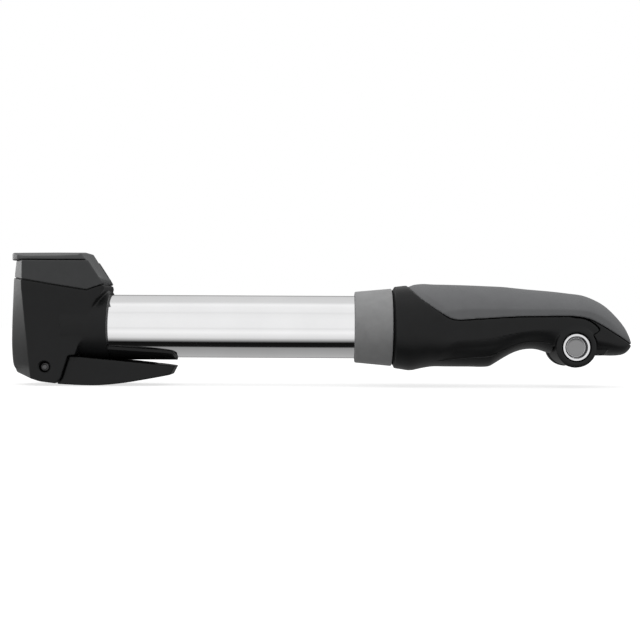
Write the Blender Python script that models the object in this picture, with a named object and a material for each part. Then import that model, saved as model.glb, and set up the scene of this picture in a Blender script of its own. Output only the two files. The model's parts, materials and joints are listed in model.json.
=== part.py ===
"""Telescopic bicycle mini pump with a clamp-lever valve head and a folding T handle.

Frame: +X runs along the barrel from the head to the handle, +Z points to the valve mouth, and the
origin is the centre of the head's flat end face, on the barrel's axis.
Every size in this file is in millimetres; meshes are scaled to metres as they are made.
"""

import math

import bmesh
import bpy
from mathutils import Matrix, Vector

MM = 0.001
STEPS = 32  # facets of a turned piece
GAP = 0.3  # kept between pieces that rest on each other
ACROSS = 40.0  # reaches past the whole object's width

# Barrel, collar and telescoping tubes
BARREL_R = 14.0
BARREL_BORE_R = 12.8
BARREL_START = 38.3
BARREL_END = 158.0
SOCKET_R = BARREL_R + GAP
COLLAR_START = 154.1
COLLAR_END = 170.6
COLLAR_START_R = 15.9
COLLAR_END_R = 17.4
INNER_R = 11.0
INNER_BORE_R = 9.8
INNER_START = 47.3
INNER_END = 178.0
ROD_R = 6.0
ROD_BORE_R = 4.8
ROD_START = 58.3
ROD_END = 191.7

# Pump head
HEAD_HALF_WIDTH = 14.6
CAP_HALF_WIDTH = 14.3
HEAD_END_HALF_WIDTH = 3.0  # of the flat end face
NOSE_CORNER = (1.7, 6.3)  # where the nose meets the chamfer: depth and half width
CHAMFER_END = 7.9
SLEEVE_R = 15.0
SLEEVE_END = 44.7
SOCKET_FLOOR = 36.3
CHAMBER_R = 7.3
VALVE_X = 18.0  # the valve chamber's axis, straight above the lever's pin
PORT_R = 5.0
CHAMBER_TOP = 26.4

# Clamp lever and its cam
LEVER_X, LEVER_Z = 18.0, -18.0  # pin
LEVER_PIN_R = 2.2
CHEEK_INNER = 8.5  # inner faces of the head's two cheeks
CAM_R = 6.5
CAM_RISE = 1.14  # lift in mm for each radian of lever travel
CAM_TRAVEL = math.radians(90)
CHEEK_CORNER_R = 8.6
LEVER_FACE_R = 8.85
LEVER_SEAM_TOP = (28.35, -13.1)
LEVER_SEAM_FOOT = (24.6, -25.0)
SEAM_HALF_GAP = 0.2
SLOT_R = 8.9  # room for the cam
SLOT_ROOF = -12.6
LEVER_PIN_HALF = 13.6

# Outlines of the head in XZ, seen from the side
CAP_SEAM = [(0.7, 21.8), (8.5, 20.3), (36.3, 15.8), (43.0, 18.4)]
CAP_TOP = 28.9
CAP_END = (41.0, 17.8)
HINGE_LUG = [(36.5, 17.5), (41.0, 18.2), (42.3, 19.8), (41.6, 21.5), (40.0, 21.9), (36.5, 22.3)]
HEAD_FOOT = [(16.0, -24.4), (3.0, -20.4), (0.7, -17.5), (0.0, -13.0)]
LEVER_SOLE = [(23.5, -25.6), (34.0, -26.0), (43.0, -25.9), (53.0, -24.9), (65.0, -22.9), (72.2, -21.7)]
LEVER_TIP = (74.4, -17.6)
LEVER_HALF_WIDTH = 12.8
LEVER_WALL = 3.0

# Dust cover
COVER_X, COVER_Z = 40.6, 20.1  # hinge pin
COVER_PIN_R = 0.8
COVER_KNUCKLE_R = 1.9
COVER_LUG_HALF = 4.4
COVER_TOP = 32.5
COVER_THICKNESS = 3.3
COVER_BEND = (35.0, 32.5)
COVER_HALF_WIDTH = 13.6

# Saddle tongue under the barrel
TONGUE_R = 14.95
TONGUE_LEAF = [(42.0, 11.3), (59.5, 10.2), (72.8, 9.2), (74.6, 6.5), (75.0, 0.0)]

# Handle: neck, pivot and folding grip
NECK_CAVITY_END = 182.0
NECK_CAVITY_R = 14.0
SOCKET_END = 192.0
CHANNEL_START = 194.6
CHANNEL_FLOOR = -3.6
CHANNEL_HALF = 9.6
PIVOT_X, PIVOT_Z = 251.2, -8.3
PIVOT_R = 4.0
RIVET_HEAD_R = 6.1
EAR_R = 9.0
EAR_TOP_R = 13.0
EAR_HALF_WIDTH = 13.95
BOSS_R = 8.1
BOSS_HALF_WIDTH = 14.4
HUB_R = 8.6
CORE_HALF = 9.2
COUNTERBORE_DEPTH = 2.6
COVER_WALL = 2.6
HOLLOW_REACH = (196.0, 266.0)  # room under the grey cover
SPINE_REACH = (204.0, 262.0)  # the frame's ridge that fills it
SPLIT_X = 245.0  # the tail starts to the right of this

# Handle's outer form. Each station: x, top, bottom, half width, upper crease, lower crease.
HANDLE_STATIONS = [
    (171.7, 18.2, -18.3, 18.2, 0.0, 0.0),
    (175.0, 18.6, -18.8, 18.7, 0.0, 0.0),
    (179.0, 19.0, -19.3, 19.0, 0.4, -0.4),
    (184.5, 19.6, -18.2, 18.2, 2.6, -2.0),
    (189.0, 19.4, -17.5, 17.0, 5.0, -4.0),
    (195.0, 19.3, -17.5, 15.7, 7.2, -5.6),
    (205.0, 19.05, -17.5, 14.5, 8.2, -5.2),
    (214.2, 18.7, -17.4, 14.1, 8.2, -4.2),
    (217.0, 18.6, -15.9, 14.0, 8.2, -3.8),
    (221.0, 18.4, -13.4, 13.9, 8.2, -2.8),
    (226.0, 17.9, -10.8, 13.8, 8.2, -1.6),
    (231.0, 17.4, -9.5, 13.8, 8.2, -0.9),
    (236.0, 17.0, -9.6, 13.8, 8.2, -0.7),
    (243.0, 16.4, -11.6, 13.8, 8.2, -0.5),
    (250.0, 15.6, -12.2, 13.8, 8.1, -1.5),
    (256.0, 14.8, -12.2, 13.4, 7.6, -3.5),
    (261.0, 13.0, -12.2, 12.6, 6.0, -5.0),
    (266.0, 10.2, -12.2, 11.3, 3.0, -6.0),
    (271.0, 5.6, -12.2, 9.3, -1.5, -7.0),
    (275.0, 0.7, -11.5, 6.8, -4.5, -7.4),
    (277.3, -3.6, -9.6, 4.0, -6.2, -7.6),
    (278.1, -5.6, -8.4, 2.2, -6.8, -7.4),
]

# Parting line between the grey cover and the black neck, from the top left to the tip
PARTING = [
    (177.0, 20.0),
    (178.8, 17.0),
    (182.6, 13.0),
    (186.8, 9.8),
    (191.2, 6.7),
    (194.6, 4.6),
    (197.2, 3.7),
    (200.5, 3.4),
    (208.7, 3.95),
    (217.5, 4.5),
    (226.3, 5.0),
    (235.0, 5.2),
    (248.2, 5.3),
    (252.6, 5.0),
    (257.0, 4.1),
    (261.4, 2.1),
    (265.7, -0.3),
    (270.1, -2.8),
    (279.5, -8.2),
]


def clear_scene():
    for obj in list(bpy.data.objects):
        bpy.data.objects.remove(obj)


def make_material(name, colour, roughness, metallic=0.0):
    material = bpy.data.materials.new(name)
    material.use_nodes = True
    shader = material.node_tree.nodes["Principled BSDF"]
    shader.inputs["Base Color"].default_value = (*colour, 1.0)
    shader.inputs["Roughness"].default_value = roughness
    shader.inputs["Metallic"].default_value = metallic
    return material


def new_object(name, bm, material=None):
    """Makes an object from a bmesh in millimetres. One with no material is a cutter."""
    bmesh.ops.recalc_face_normals(bm, faces=bm.faces)
    bmesh.ops.scale(bm, vec=(MM, MM, MM), verts=bm.verts)
    mesh = bpy.data.meshes.new(name)
    bm.to_mesh(mesh)
    bm.free()
    obj = bpy.data.objects.new(name, mesh)
    bpy.context.scene.collection.objects.link(obj)
    if material is None:
        obj.hide_render = True
        obj.display_type = "WIRE"
    else:
        mesh.materials.append(material)
        mesh.shade_smooth()
        mesh.set_sharp_from_angle(angle=math.radians(30))
    return obj


def joint_empty(name, place):
    """An empty on a joint's axis; the pieces that move with the joint hang from it."""
    empty = bpy.data.objects.new(name, None)
    empty.location = Vector(place) * MM
    bpy.context.scene.collection.objects.link(empty)
    return empty


def hang(obj, empty):
    """Parents obj to a joint's empty and leaves it where it is."""
    obj.parent = empty
    obj.location = -empty.location
    return obj


def prism(name, outline, across, material=None, along="Y"):
    """A flat outline extruded between two values of the axis named by along.

    The outline is in XZ when it is extruded along Y, and in XY along Z.
    """
    low, high = across
    place = {"Y": lambda a, b: (a, low, b), "Z": lambda a, b: (a, b, low)}[along]
    depth = {"Y": (0, high - low, 0), "Z": (0, 0, high - low)}[along]
    bm = bmesh.new()
    face = bm.faces.new([bm.verts.new(place(*point)) for point in outline])
    made = bmesh.ops.extrude_face_region(bm, geom=[face])
    moved = [item for item in made["geom"] if isinstance(item, bmesh.types.BMVert)]
    bmesh.ops.translate(bm, vec=depth, verts=moved)
    return new_object(name, bm, material)


def turned(name, profile, material=None, axis="X", centre=(0, 0, 0), steps=STEPS):
    """A closed profile of (along, radius) points, spun about an axis through centre."""
    bm = bmesh.new()
    ring = [bm.verts.new((along, 0, radius)) for along, radius in profile]
    edges = [bm.edges.new((ring[i - 1], ring[i])) for i in range(len(ring))]
    bmesh.ops.spin(
        bm, geom=ring + edges, cent=(0, 0, 0), axis=(1, 0, 0), dvec=(0, 0, 0),
        angle=math.tau, steps=steps, use_merge=True, use_duplicate=False,
    )
    bmesh.ops.remove_doubles(bm, verts=bm.verts, dist=0.001)
    turn = {
        "X": Matrix.Identity(3),
        "Y": Matrix.Rotation(math.radians(90), 3, "Z"),
        "Z": Matrix.Rotation(math.radians(-90), 3, "Y"),
    }[axis]
    bmesh.ops.rotate(bm, cent=(0, 0, 0), matrix=turn, verts=bm.verts)
    bmesh.ops.translate(bm, vec=centre, verts=bm.verts)
    return new_object(name, bm, material)


def rod(name, start, end, radius, material=None, axis="X", centre=(0, 0, 0), steps=STEPS):
    profile = [(start, 0), (start, radius), (end, radius), (end, 0)]
    return turned(name, profile, material, axis, centre, steps)


def tube(name, start, end, bore, radius, material=None, axis="X", centre=(0, 0, 0)):
    profile = [(start, bore), (start, radius), (end, radius), (end, bore)]
    return turned(name, profile, material, axis, centre)


def combine(obj, other, operation, solver="EXACT"):
    """Adds a Boolean; other becomes a hidden helper."""
    other.hide_render = True
    other.display_type = "WIRE"
    modifier = obj.modifiers.new(f"{operation.lower()} {other.name}", "BOOLEAN")
    modifier.operation = operation
    modifier.solver = solver
    modifier.object = other
    return obj


def cut(obj, *cutters, solver="EXACT"):
    for cutter in cutters:
        combine(obj, cutter, "DIFFERENCE", solver)
    return obj


def join(obj, *others):
    for other in others:
        combine(obj, other, "UNION")
    return obj


def arc(centre, radius, start_deg, end_deg, count):
    """Points of an arc in XZ; angles run from +X towards +Z."""
    points = []
    for i in range(count + 1):
        angle = math.radians(start_deg + (end_deg - start_deg) * i / count)
        points.append((centre[0] + radius * math.cos(angle), centre[1] + radius * math.sin(angle)))
    return points


def smooth_value(rows, x, column):
    """A column of a station table at x, by a Catmull-Rom curve through the rows."""
    last = len(rows) - 1
    i = max(0, min(last - 1, sum(row[0] <= x for row in rows) - 1))
    x0, x1 = rows[i][0], rows[i + 1][0]
    y0, y1 = rows[i][column], rows[i + 1][column]
    before, after = rows[max(0, i - 1)], rows[min(last, i + 2)]
    slope0 = (y1 - before[column]) / (x1 - before[0])
    slope1 = (after[column] - y0) / (after[0] - x0)
    t = (x - x0) / (x1 - x0)
    return (
        (2 * t**3 - 3 * t**2 + 1) * y0
        + (t**3 - 2 * t**2 + t) * (x1 - x0) * slope0
        + (3 * t**2 - 2 * t**3) * y1
        + (t**3 - t**2) * (x1 - x0) * slope1
    )


def handle_ring(x, inset=0.0, quarter=5):
    """One cross-section of the handle: domed top, straight sides, rounded bottom."""
    top, bottom, half, upper, lower = (smooth_value(HANDLE_STATIONS, x, c) for c in range(1, 6))
    top, bottom, half = top - inset, bottom + inset, half - inset
    lower = min(lower, upper - 0.6)
    ring = []
    corners = ((0, upper, top), (90, upper, top), (180, lower, bottom), (270, lower, bottom))
    for start, crease, end in corners:
        for i in range(quarter + 1):
            angle = math.radians(start + 90 * i / quarter)
            height = abs(end - crease)
            point = Vector((x, half * math.cos(angle), crease + height * math.sin(angle)))
            if not ring or (point - ring[-1]).length > 0.01:
                ring.append(point)
    if (ring[0] - ring[-1]).length < 0.01:
        ring.pop()
    return ring


def handle_form(name, inset=0.0, reach=(0, 999), material=None):
    """The handle's outer form between two stations, drawn in by inset."""
    stations = [row[0] for row in HANDLE_STATIONS]
    xs = []
    for x0, x1 in zip(stations, stations[1:]):
        xs += [x0, (x0 + x1) / 2] if x1 - x0 > 6 else [x0]
    xs.append(stations[-1])
    xs = [x for x in xs if reach[0] <= x <= reach[1]]
    bm = bmesh.new()
    last = None
    for x in xs:
        ring = [bm.verts.new(point) for point in handle_ring(x, inset)]
        edges = [bm.edges.new((ring[i - 1], ring[i])) for i in range(len(ring))]
        if last is None:
            bm.faces.new(ring)
        else:
            bmesh.ops.bridge_loops(bm, edges=last + edges)
        last = edges
    bm.faces.new(ring)
    bmesh.ops.triangulate(bm, faces=bm.faces)
    return new_object(name, bm, material)


def offset_line(points, distance):
    """An open XZ line moved to its left by distance, corner by corner."""
    points = [Vector(point) for point in points]
    moved = []
    for i, point in enumerate(points):
        before = (point - points[max(0, i - 1)]) or (points[1] - point)
        after = (points[min(len(points) - 1, i + 1)] - point) or before
        n0 = Vector((-before.y, before.x)).normalized()
        n1 = Vector((-after.y, after.x)).normalized()
        moved.append(tuple(point + (n0 + n1) / (1 + n0.dot(n1)) * distance))
    return moved


def seam_to_arc(offset, radius, end_deg):
    """The lever's seam from its top down to where it leaves for an arc about the lever's pin."""
    top, foot = Vector(LEVER_SEAM_TOP), Vector(LEVER_SEAM_FOOT)
    along = (foot - top).normalized()
    normal = Vector((-along.y, along.x))
    pin = Vector((LEVER_X, LEVER_Z))
    distance = (top - pin).dot(normal) + offset
    meet = pin + normal * distance + along * math.sqrt(radius**2 - distance**2)
    start_deg = math.degrees(math.atan2(meet.y - LEVER_Z, meet.x - LEVER_X))
    return [tuple(top + normal * offset)] + arc((LEVER_X, LEVER_Z), radius, start_deg, end_deg, 4)


def head_plan(name, half, end_x):
    """The head's outline from above, with its two chamfered corners at the end face."""
    depth, corner = NOSE_CORNER
    side = [(end_x, -HEAD_END_HALF_WIDTH), (end_x + depth, -corner), (CHAMFER_END, -half), (60, -half)]
    outline = side + [(x, -y) for x, y in reversed(side)]
    return prism(name, outline, (-ACROSS, ACROSS), along="Z")


# ---- Pump head ---------------------------------------------------------------------------------


def make_head_body(material):
    seam = [(x, z - GAP / 2) for x, z in CAP_SEAM]
    right = [(43.6, 14.0), (38.0, 9.0), (34.5, 4.0), (33.5, -12.9)]
    wall = seam_to_arc(-SEAM_HALF_GAP, CHEEK_CORNER_R, -57)
    body = prism("head_body", [(0.0, 14.0)] + seam + right + wall + HEAD_FOOT,
                 (-ACROSS, ACROSS), material)
    combine(body, head_plan("head plan", HEAD_HALF_WIDTH, 0.0), "INTERSECT")
    tongue = tube("tongue shell", 40.0, 77.0, SOCKET_R - 1, TONGUE_R)
    leaf = TONGUE_LEAF + [(x, -y) for x, y in reversed(TONGUE_LEAF[:-1])]
    combine(tongue, prism("tongue leaf", leaf, (-20, 0), along="Z"), "INTERSECT")
    join(body, rod("sleeve", 25.0, SLEEVE_END, SLEEVE_R), tongue)
    pin = (LEVER_X, LEVER_Z)
    roof_deg = math.degrees(math.asin((SLOT_ROOF - LEVER_Z) / SLOT_R))
    slot = arc(pin, SLOT_R, roof_deg, 262, 12) + [(20.0, -34), (33, -34), (33, SLOT_ROOF)]
    return cut(
        body,
        prism("cam slot", slot, (-CHEEK_INNER, CHEEK_INNER)),
        rod("valve chamber", LEVER_Z + 5, 30.0, CHAMBER_R, axis="Z", centre=(VALVE_X, 0, 0)),
        rod("barrel socket", SOCKET_FLOOR, 80.0, SOCKET_R),
        rod("air passage", VALVE_X, SOCKET_FLOOR + 1, 1.6, steps=12),
        rod("lever pin bore", -20, 20, LEVER_PIN_R + GAP, axis="Y", centre=(LEVER_X, 0, LEVER_Z)),
    )


def cover_slope(offset):
    """The sloped wall between the cap and the cover's right end, from the bend to the hinge."""
    hinge = Vector((COVER_X, COVER_Z))
    bend = Vector(COVER_BEND)
    reach = hinge - bend
    tilt = math.asin(COVER_KNUCKLE_R / reach.length)
    along = Vector((reach.x, reach.y)).normalized()
    along.rotate(Matrix.Rotation(tilt, 2))
    normal = Vector((-along.y, along.x))
    return bend + normal * offset, hinge + normal * (COVER_KNUCKLE_R + offset), along


def make_head_cap(material):
    bend, foot, along = cover_slope(-COVER_THICKNESS - GAP)
    shoulder = bend + along * ((CAP_TOP - bend.y) / along.y)
    seam = [(x, z + GAP / 2) for x, z in CAP_SEAM]
    outline = seam[:3] + [CAP_END, tuple(foot), tuple(shoulder), (1.1, CAP_TOP)]
    cap = prism("head_cap", outline, (-ACROSS, ACROSS), material)
    combine(cap, head_plan("cap plan", CAP_HALF_WIDTH, 0.4), "INTERSECT")
    hinge = (COVER_X, 0, COVER_Z)
    reach = COVER_LUG_HALF - 0.1
    lug = prism("hinge lug", HINGE_LUG, (-reach, reach))
    for side in (-1, 1):
        reach = sorted((side * COVER_LUG_HALF, side * 20))
        cut(cap, rod("knuckle room", *reach, COVER_KNUCKLE_R + GAP, axis="Y", centre=hinge))
    cut(
        join(cap, lug),
        rod("chamber roof", 10, CHAMBER_TOP, CHAMBER_R, axis="Z", centre=(VALVE_X, 0, 0)),
        rod("valve mouth", 10, 40, PORT_R, axis="Z", centre=(VALVE_X, 0, 0)),
    )
    bore = rod("cover pin bore", -20, 20, COVER_PIN_R + GAP, axis="Y", centre=hinge, steps=16)
    return combine(cap, bore, "DIFFERENCE", solver="MANIFOLD")


def make_valve_fittings(rubber, steel, plastic, plunger_slide):
    axis = {"axis": "Z", "centre": (VALVE_X, 0, 0)}
    top = CHAMBER_TOP - GAP
    turned("valve_seal", [(12.3, 2.9), (12.3, 6.9), (top, 6.9), (top, 4.2), (14.0, 4.2)], rubber, **axis)
    foot = LEVER_Z + CAM_R + GAP
    plunger = turned(
        "clamp_plunger",
        [(foot, 0), (foot, 7.0), (-8.4, 7.0), (-8.4, 5.6), (-6.4, 5.6), (-6.4, 7.0), (-3.0, 7.0),
         (-2.0, 5.4), (2.6, 5.4), (3.6, 7.0), (9.6, 7.0), (9.6, 2.6), (-3.6, 2.6), (-4.4, 0)],
        plastic, **axis)
    cut(plunger, rod("plunger inlet", -10, 0, 1.4, axis="X", centre=(VALVE_X, 0, 0.6), steps=12))
    seal = turned("plunger_seal", ring_profile(-7.4, 6.45, 0.7), rubber, **axis)
    for piece in (plunger, seal):
        hang(piece, plunger_slide)
    pin = (LEVER_X, 0, LEVER_Z)
    rod("lever_pin", -LEVER_PIN_HALF, LEVER_PIN_HALF, LEVER_PIN_R, steel, axis="Y", centre=pin)
    tube("barrel_gasket", SOCKET_FLOOR + GAP, BARREL_START - GAP, 9.5, 13.9, rubber)
    rod("check_valve_disc", SOCKET_FLOOR + GAP, SOCKET_FLOOR + 1.5, 5.0, rubber)


def ring_profile(along, radius, thickness, count=10):
    """The round section of a sealing ring."""
    return [
        (along + thickness * math.cos(math.tau * i / count),
         radius + thickness * math.sin(math.tau * i / count))
        for i in range(count)
    ]


def cam_outline():
    """The lever's cam: its reach rises evenly, so the plunger's lift follows the lever's angle."""
    points = []
    for i in range(13):
        travel = CAM_TRAVEL * i / 12
        angle = math.radians(90) + travel
        reach = CAM_R + CAM_RISE * travel
        points.append((
            LEVER_X + reach * math.cos(angle) - CAM_RISE * math.sin(angle),
            LEVER_Z + reach * math.sin(angle) + CAM_RISE * math.cos(angle),
        ))
    return points + arc((LEVER_X, LEVER_Z), CAM_R - 0.6, 215, 300, 4) + [(23.0, -18.0), (21.0, -13.6)]


def make_clamp_lever(material, hub):
    face = seam_to_arc(SEAM_HALF_GAP, LEVER_FACE_R, -54)
    outline = face + LEVER_SOLE + [LEVER_TIP]
    lever = prism("clamp_lever", outline, (-LEVER_HALF_WIDTH, LEVER_HALF_WIDTH), material)
    half = LEVER_HALF_WIDTH
    plan = [(20, -half), (50, -half), (62, -half + 1.2), (70, -half + 4), (78, -half + 9)]
    plan += [(x, -y) for x, y in reversed(plan)]
    combine(lever, prism("lever plan", plan, (-40, 0), along="Z"), "INTERSECT")
    arm = [(21.0, -13.6), (30.0, -13.6), (31.0, -25.0), (23.5, -24.0), (19.0, -23.0)]
    arm_half = CHEEK_INNER - GAP
    join(
        lever,
        prism("lever arm", arm, (-arm_half, arm_half)),
        prism("cam", cam_outline(), (-arm_half + 1.2, arm_half - 1.2)),
    )
    pocket = [(33.0, -10), (33.0, -23.4), (43.0, -23.3), (52.0, -22.3), (64.0, -19.2), (66, -10)]
    cut(
        lever,
        rod("barrel room", 0, 90, SLEEVE_R + 2 * GAP),
        prism("lever pocket", pocket, (-half + LEVER_WALL, half - LEVER_WALL)),
        rod("lever bore", -20, 20, LEVER_PIN_R + GAP, axis="Y", centre=(LEVER_X, 0, LEVER_Z)),
    )
    return hang(lever, hub)


def make_dust_cover(material, rubber, steel, hinge):
    bend, foot, _ = cover_slope(0.0)
    inner_bend, inner_foot, along = cover_slope(-COVER_THICKNESS)
    under = COVER_TOP - COVER_THICKNESS
    corner = inner_bend + along * ((under - inner_bend.y) / along.y)
    outline = [(-0.1, under), (0.0, COVER_TOP), tuple(bend), tuple(foot), tuple(inner_foot), tuple(corner)]
    cover = prism("dust_cover", outline, (-ACROSS, ACROSS), material)
    combine(cover, head_plan("cover plan", COVER_HALF_WIDTH, -0.1), "INTERSECT")
    centre = (COVER_X, 0, COVER_Z)
    reach = COVER_HALF_WIDTH - 0.5
    join(cover, rod("cover knuckle", -reach, reach, COVER_KNUCKLE_R, axis="Y", centre=centre))
    room = COVER_LUG_HALF + GAP
    bottom = [(COVER_X - 8, COVER_Z - 4), (COVER_X + 6, COVER_Z - 4), (COVER_X + 6, COVER_Z + 4.5),
              (COVER_X - 8, COVER_Z + 4.5)]
    cut(
        cover,
        prism("lug room", bottom, (-room, room)),
        rod("cover pin hole", -20, 20, COVER_PIN_R + GAP, axis="Y", centre=centre, steps=16),
    )
    plug = rod("cover_plug", under - 2.0, under - GAP, 4.2, rubber, axis="Z", centre=(VALVE_X, 0, 0))
    rod("cover_pin", -COVER_HALF_WIDTH + 1, COVER_HALF_WIDTH - 1, COVER_PIN_R, steel, axis="Y",
        centre=centre, steps=12)
    for piece in (cover, plug):
        hang(piece, hinge)


# ---- Barrel and telescoping tubes --------------------------------------------------------------


def make_barrel(aluminium, grey, plastic, rubber):
    tube("outer_barrel", BARREL_START, BARREL_END, BARREL_BORE_R, BARREL_R, aluminium)
    lip, seat = COLLAR_END - 1.8, SOCKET_R
    turned(
        "collar",
        [(COLLAR_START, seat), (COLLAR_START, COLLAR_START_R), (COLLAR_END, COLLAR_END_R),
         (COLLAR_END, INNER_R + 0.5), (lip, INNER_R + 0.5), (lip, seat)],
        grey)
    bush_end = BARREL_END + 7.8
    tube("guide_bush", BARREL_END + GAP, bush_end, INNER_R + GAP, seat - GAP, plastic)
    tube("barrel_wiper", bush_end + GAP, lip - GAP, INNER_R + GAP, seat - GAP, rubber)


def make_inner_barrel(aluminium, plastic, rubber, slide):
    wall = BARREL_BORE_R - GAP
    piston_end = INNER_START - GAP
    groove = (piston_end - 3.2, piston_end - 1.2)
    pieces = [
        tube("inner_barrel", INNER_START, INNER_END, INNER_BORE_R, INNER_R, aluminium),
        turned(
            "inner_piston",
            [(41.0, 3.0), (41.0, 10.5), (42.0, wall), (groove[0], wall), (groove[0], 10.9),
             (groove[1], 10.9), (groove[1], wall), (piston_end, wall), (piston_end, 3.0)],
            plastic),
        turned("inner_piston_seal", ring_profile(sum(groove) / 2, 11.85, 0.65), rubber),
        turned(
            "inner_cap",
            [(173.0, INNER_R + GAP), (173.0, 12.6), (174.0, 13.2), (180.5, 13.2), (180.5, ROD_R + GAP),
             (INNER_END + GAP, ROD_R + GAP), (INNER_END + GAP, INNER_R + GAP)],
            plastic),
        tube("rod_bush", 168.0, INNER_END - GAP, ROD_R + GAP, INNER_BORE_R - GAP, plastic),
    ]
    for piece in pieces:
        hang(piece, slide)


def make_piston(plastic, rubber, slide):
    wall = INNER_BORE_R - GAP
    pieces = [
        turned(
            "piston",
            [(50.0, 0), (50.0, 8.0), (51.0, wall), (52.2, wall), (52.2, 8.0), (54.2, 8.0), (54.2, wall),
             (60.0, wall), (60.0, ROD_R + GAP), (56.0, ROD_R + GAP), (56.0, 0)],
            plastic),
        turned("piston_seal", ring_profile(53.2, 8.95, 0.6), rubber),
    ]
    for piece in pieces:
        hang(piece, slide)


def make_rod(aluminium, steel, turn):
    tip = 182.0
    pieces = [
        turned(
            "piston_rod",
            [(56.3, ROD_BORE_R), (56.3, ROD_R), (ROD_END, ROD_R), (ROD_END, 2.3), (tip, 2.3),
             (tip, ROD_BORE_R)],
            aluminium),
        turned(
            "neck_screw",
            [(tip + 2, 0), (tip + 2, 2.0), (CHANNEL_START + GAP, 2.0), (CHANNEL_START + GAP, 3.8),
             (CHANNEL_START + 2.3, 3.8), (CHANNEL_START + 2.8, 3.2), (CHANNEL_START + 2.8, 1.5),
             (CHANNEL_START + 1.2, 0)],
            steel),
    ]
    for piece in pieces:
        hang(piece, turn)


# ---- Handle ------------------------------------------------------------------------------------


def ear_edge(offset):
    """The right edge of the neck's ears: an arc that the grip swings past, then the round end."""
    pin = (PIVOT_X, PIVOT_Z)
    return arc(pin, EAR_TOP_R + offset, 90, 35, 5) + arc(pin, EAR_R + offset, 35, -90, 9)


def neck_outline(offset):
    """Everything below the parting line and left of the ears' edge, moved out by offset."""
    line = [point for point in offset_line(PARTING, offset) if point[0] < PIVOT_X - 2]
    left, top = 160.0, line[0][1] + 3
    return [(left, -40.0), (left, top), (line[0][0] - 2, top)] + line + (
        ear_edge(offset) + [(PIVOT_X, -40.0)])


def make_neck(material, turn):
    neck = handle_form("handle_neck", material=material)
    pin = (PIVOT_X, 0, PIVOT_Z)
    join(
        neck,
        rod("ear round", -EAR_HALF_WIDTH, EAR_HALF_WIDTH, EAR_R, axis="Y", centre=pin),
    )
    combine(neck, prism("neck mask", neck_outline(-GAP / 2), (-ACROSS, ACROSS)), "INTERSECT")
    join(neck, rod("boss", -BOSS_HALF_WIDTH, BOSS_HALF_WIDTH, BOSS_R, axis="Y", centre=pin))
    floor_end = PIVOT_X - EAR_R - 0.2
    channel = [
        (CHANNEL_START, 40), (CHANNEL_START, CHANNEL_FLOOR), (floor_end, CHANNEL_FLOOR),
        (floor_end, -40), (300, -40), (300, 40),
    ]
    cut(
        neck,
        prism("rib channel", channel, (-CHANNEL_HALF, CHANNEL_HALF)),
        rod("cap cavity", 150, NECK_CAVITY_END, NECK_CAVITY_R),
        rod("rod socket", 150, SOCKET_END, ROD_R + GAP),
        rod("screw hole", 150, 200, 2.3, steps=16),
        rod("screw head room", CHANNEL_START + 0.1, CHANNEL_START + 4, 4.2),
        rod("grip pin bore", -30, 30, PIVOT_R + GAP, axis="Y", centre=pin),
        solver="MANIFOLD",
    )
    for side in (-1, 1):
        reach = sorted((side * (BOSS_HALF_WIDTH - COUNTERBORE_DEPTH), side * 30))
        recess = rod("rivet recess", *reach, RIVET_HEAD_R + GAP, axis="Y", centre=pin)
        cut(neck, recess, solver="MANIFOLD")
    return hang(neck, turn)


def make_grip_pin(material, turn):
    inner = BOSS_HALF_WIDTH - COUNTERBORE_DEPTH + GAP
    outer = inner + 1.4
    half = [(inner, PIVOT_R), (inner, RIVET_HEAD_R), (outer - 0.4, RIVET_HEAD_R), (outer, 5.6),
            (outer, 4.9), (outer - 1.0, 4.0), (outer - 1.5, 2.0), (outer - 1.6, 0)]
    profile = [(-y, r) for y, r in reversed(half)] + half
    return hang(turned("grip_pin", profile, material, axis="Y", centre=(PIVOT_X, 0, PIVOT_Z)), turn)


def above_parting(offset):
    """Everything above the parting line, moved up by offset."""
    line = offset_line(PARTING, offset)
    left, right = line[0][0] - 2, line[-1][0] + 5
    return [(left, 45.0), (left, line[0][1] + 3)] + line + [(right, line[-1][1] - 3), (right, 45.0)]


def make_grip(black, grey, hinge):
    cover = handle_form("grip_cover", material=grey)
    combine(cover, prism("cover mask", above_parting(GAP / 2), (-ACROSS, ACROSS)), "INTERSECT")
    cut(cover, handle_form("cover hollow", COVER_WALL, HOLLOW_REACH))
    frame = handle_form("grip_frame", COVER_WALL + GAP, SPINE_REACH, black)
    spine = prism("spine mask", above_parting(GAP / 2), (-ACROSS, ACROSS))
    combine(frame, spine, "INTERSECT")
    tail = handle_form("tail form")
    right = [(SPLIT_X, 30), (SPLIT_X, -30), (290, -30), (290, 30)]
    combine(tail, prism("tail side", right, (-ACROSS, ACROSS)), "INTERSECT")
    cut(tail, prism("tail top", above_parting(-GAP / 2), (-ACROSS, ACROSS)))
    cut(tail, prism("ear sweep", neck_outline(GAP), (-ACROSS, ACROSS)))
    pin = (PIVOT_X, 0, PIVOT_Z)
    core = CORE_HALF
    floor, start = CHANNEL_FLOOR + GAP, CHANNEL_START + 8
    rib = [(start, 6.5), (start, floor), (245.0, floor), (249.0, -8.0), (256.0, -12.0), (264.0, -12.0),
           (267.0, -8.0), (262.0, 0.0), (252.0, 6.5)]
    join(
        frame,
        tail,
        prism("rib", rib, (-core, core)),
        rod("hub", -core - 0.1, core + 0.1, HUB_R, axis="Y", centre=pin),
    )
    cut(frame, rod("hub bore", -30, 30, PIVOT_R + GAP, axis="Y", centre=pin))
    for piece in (cover, frame):
        hang(piece, hinge)


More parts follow.
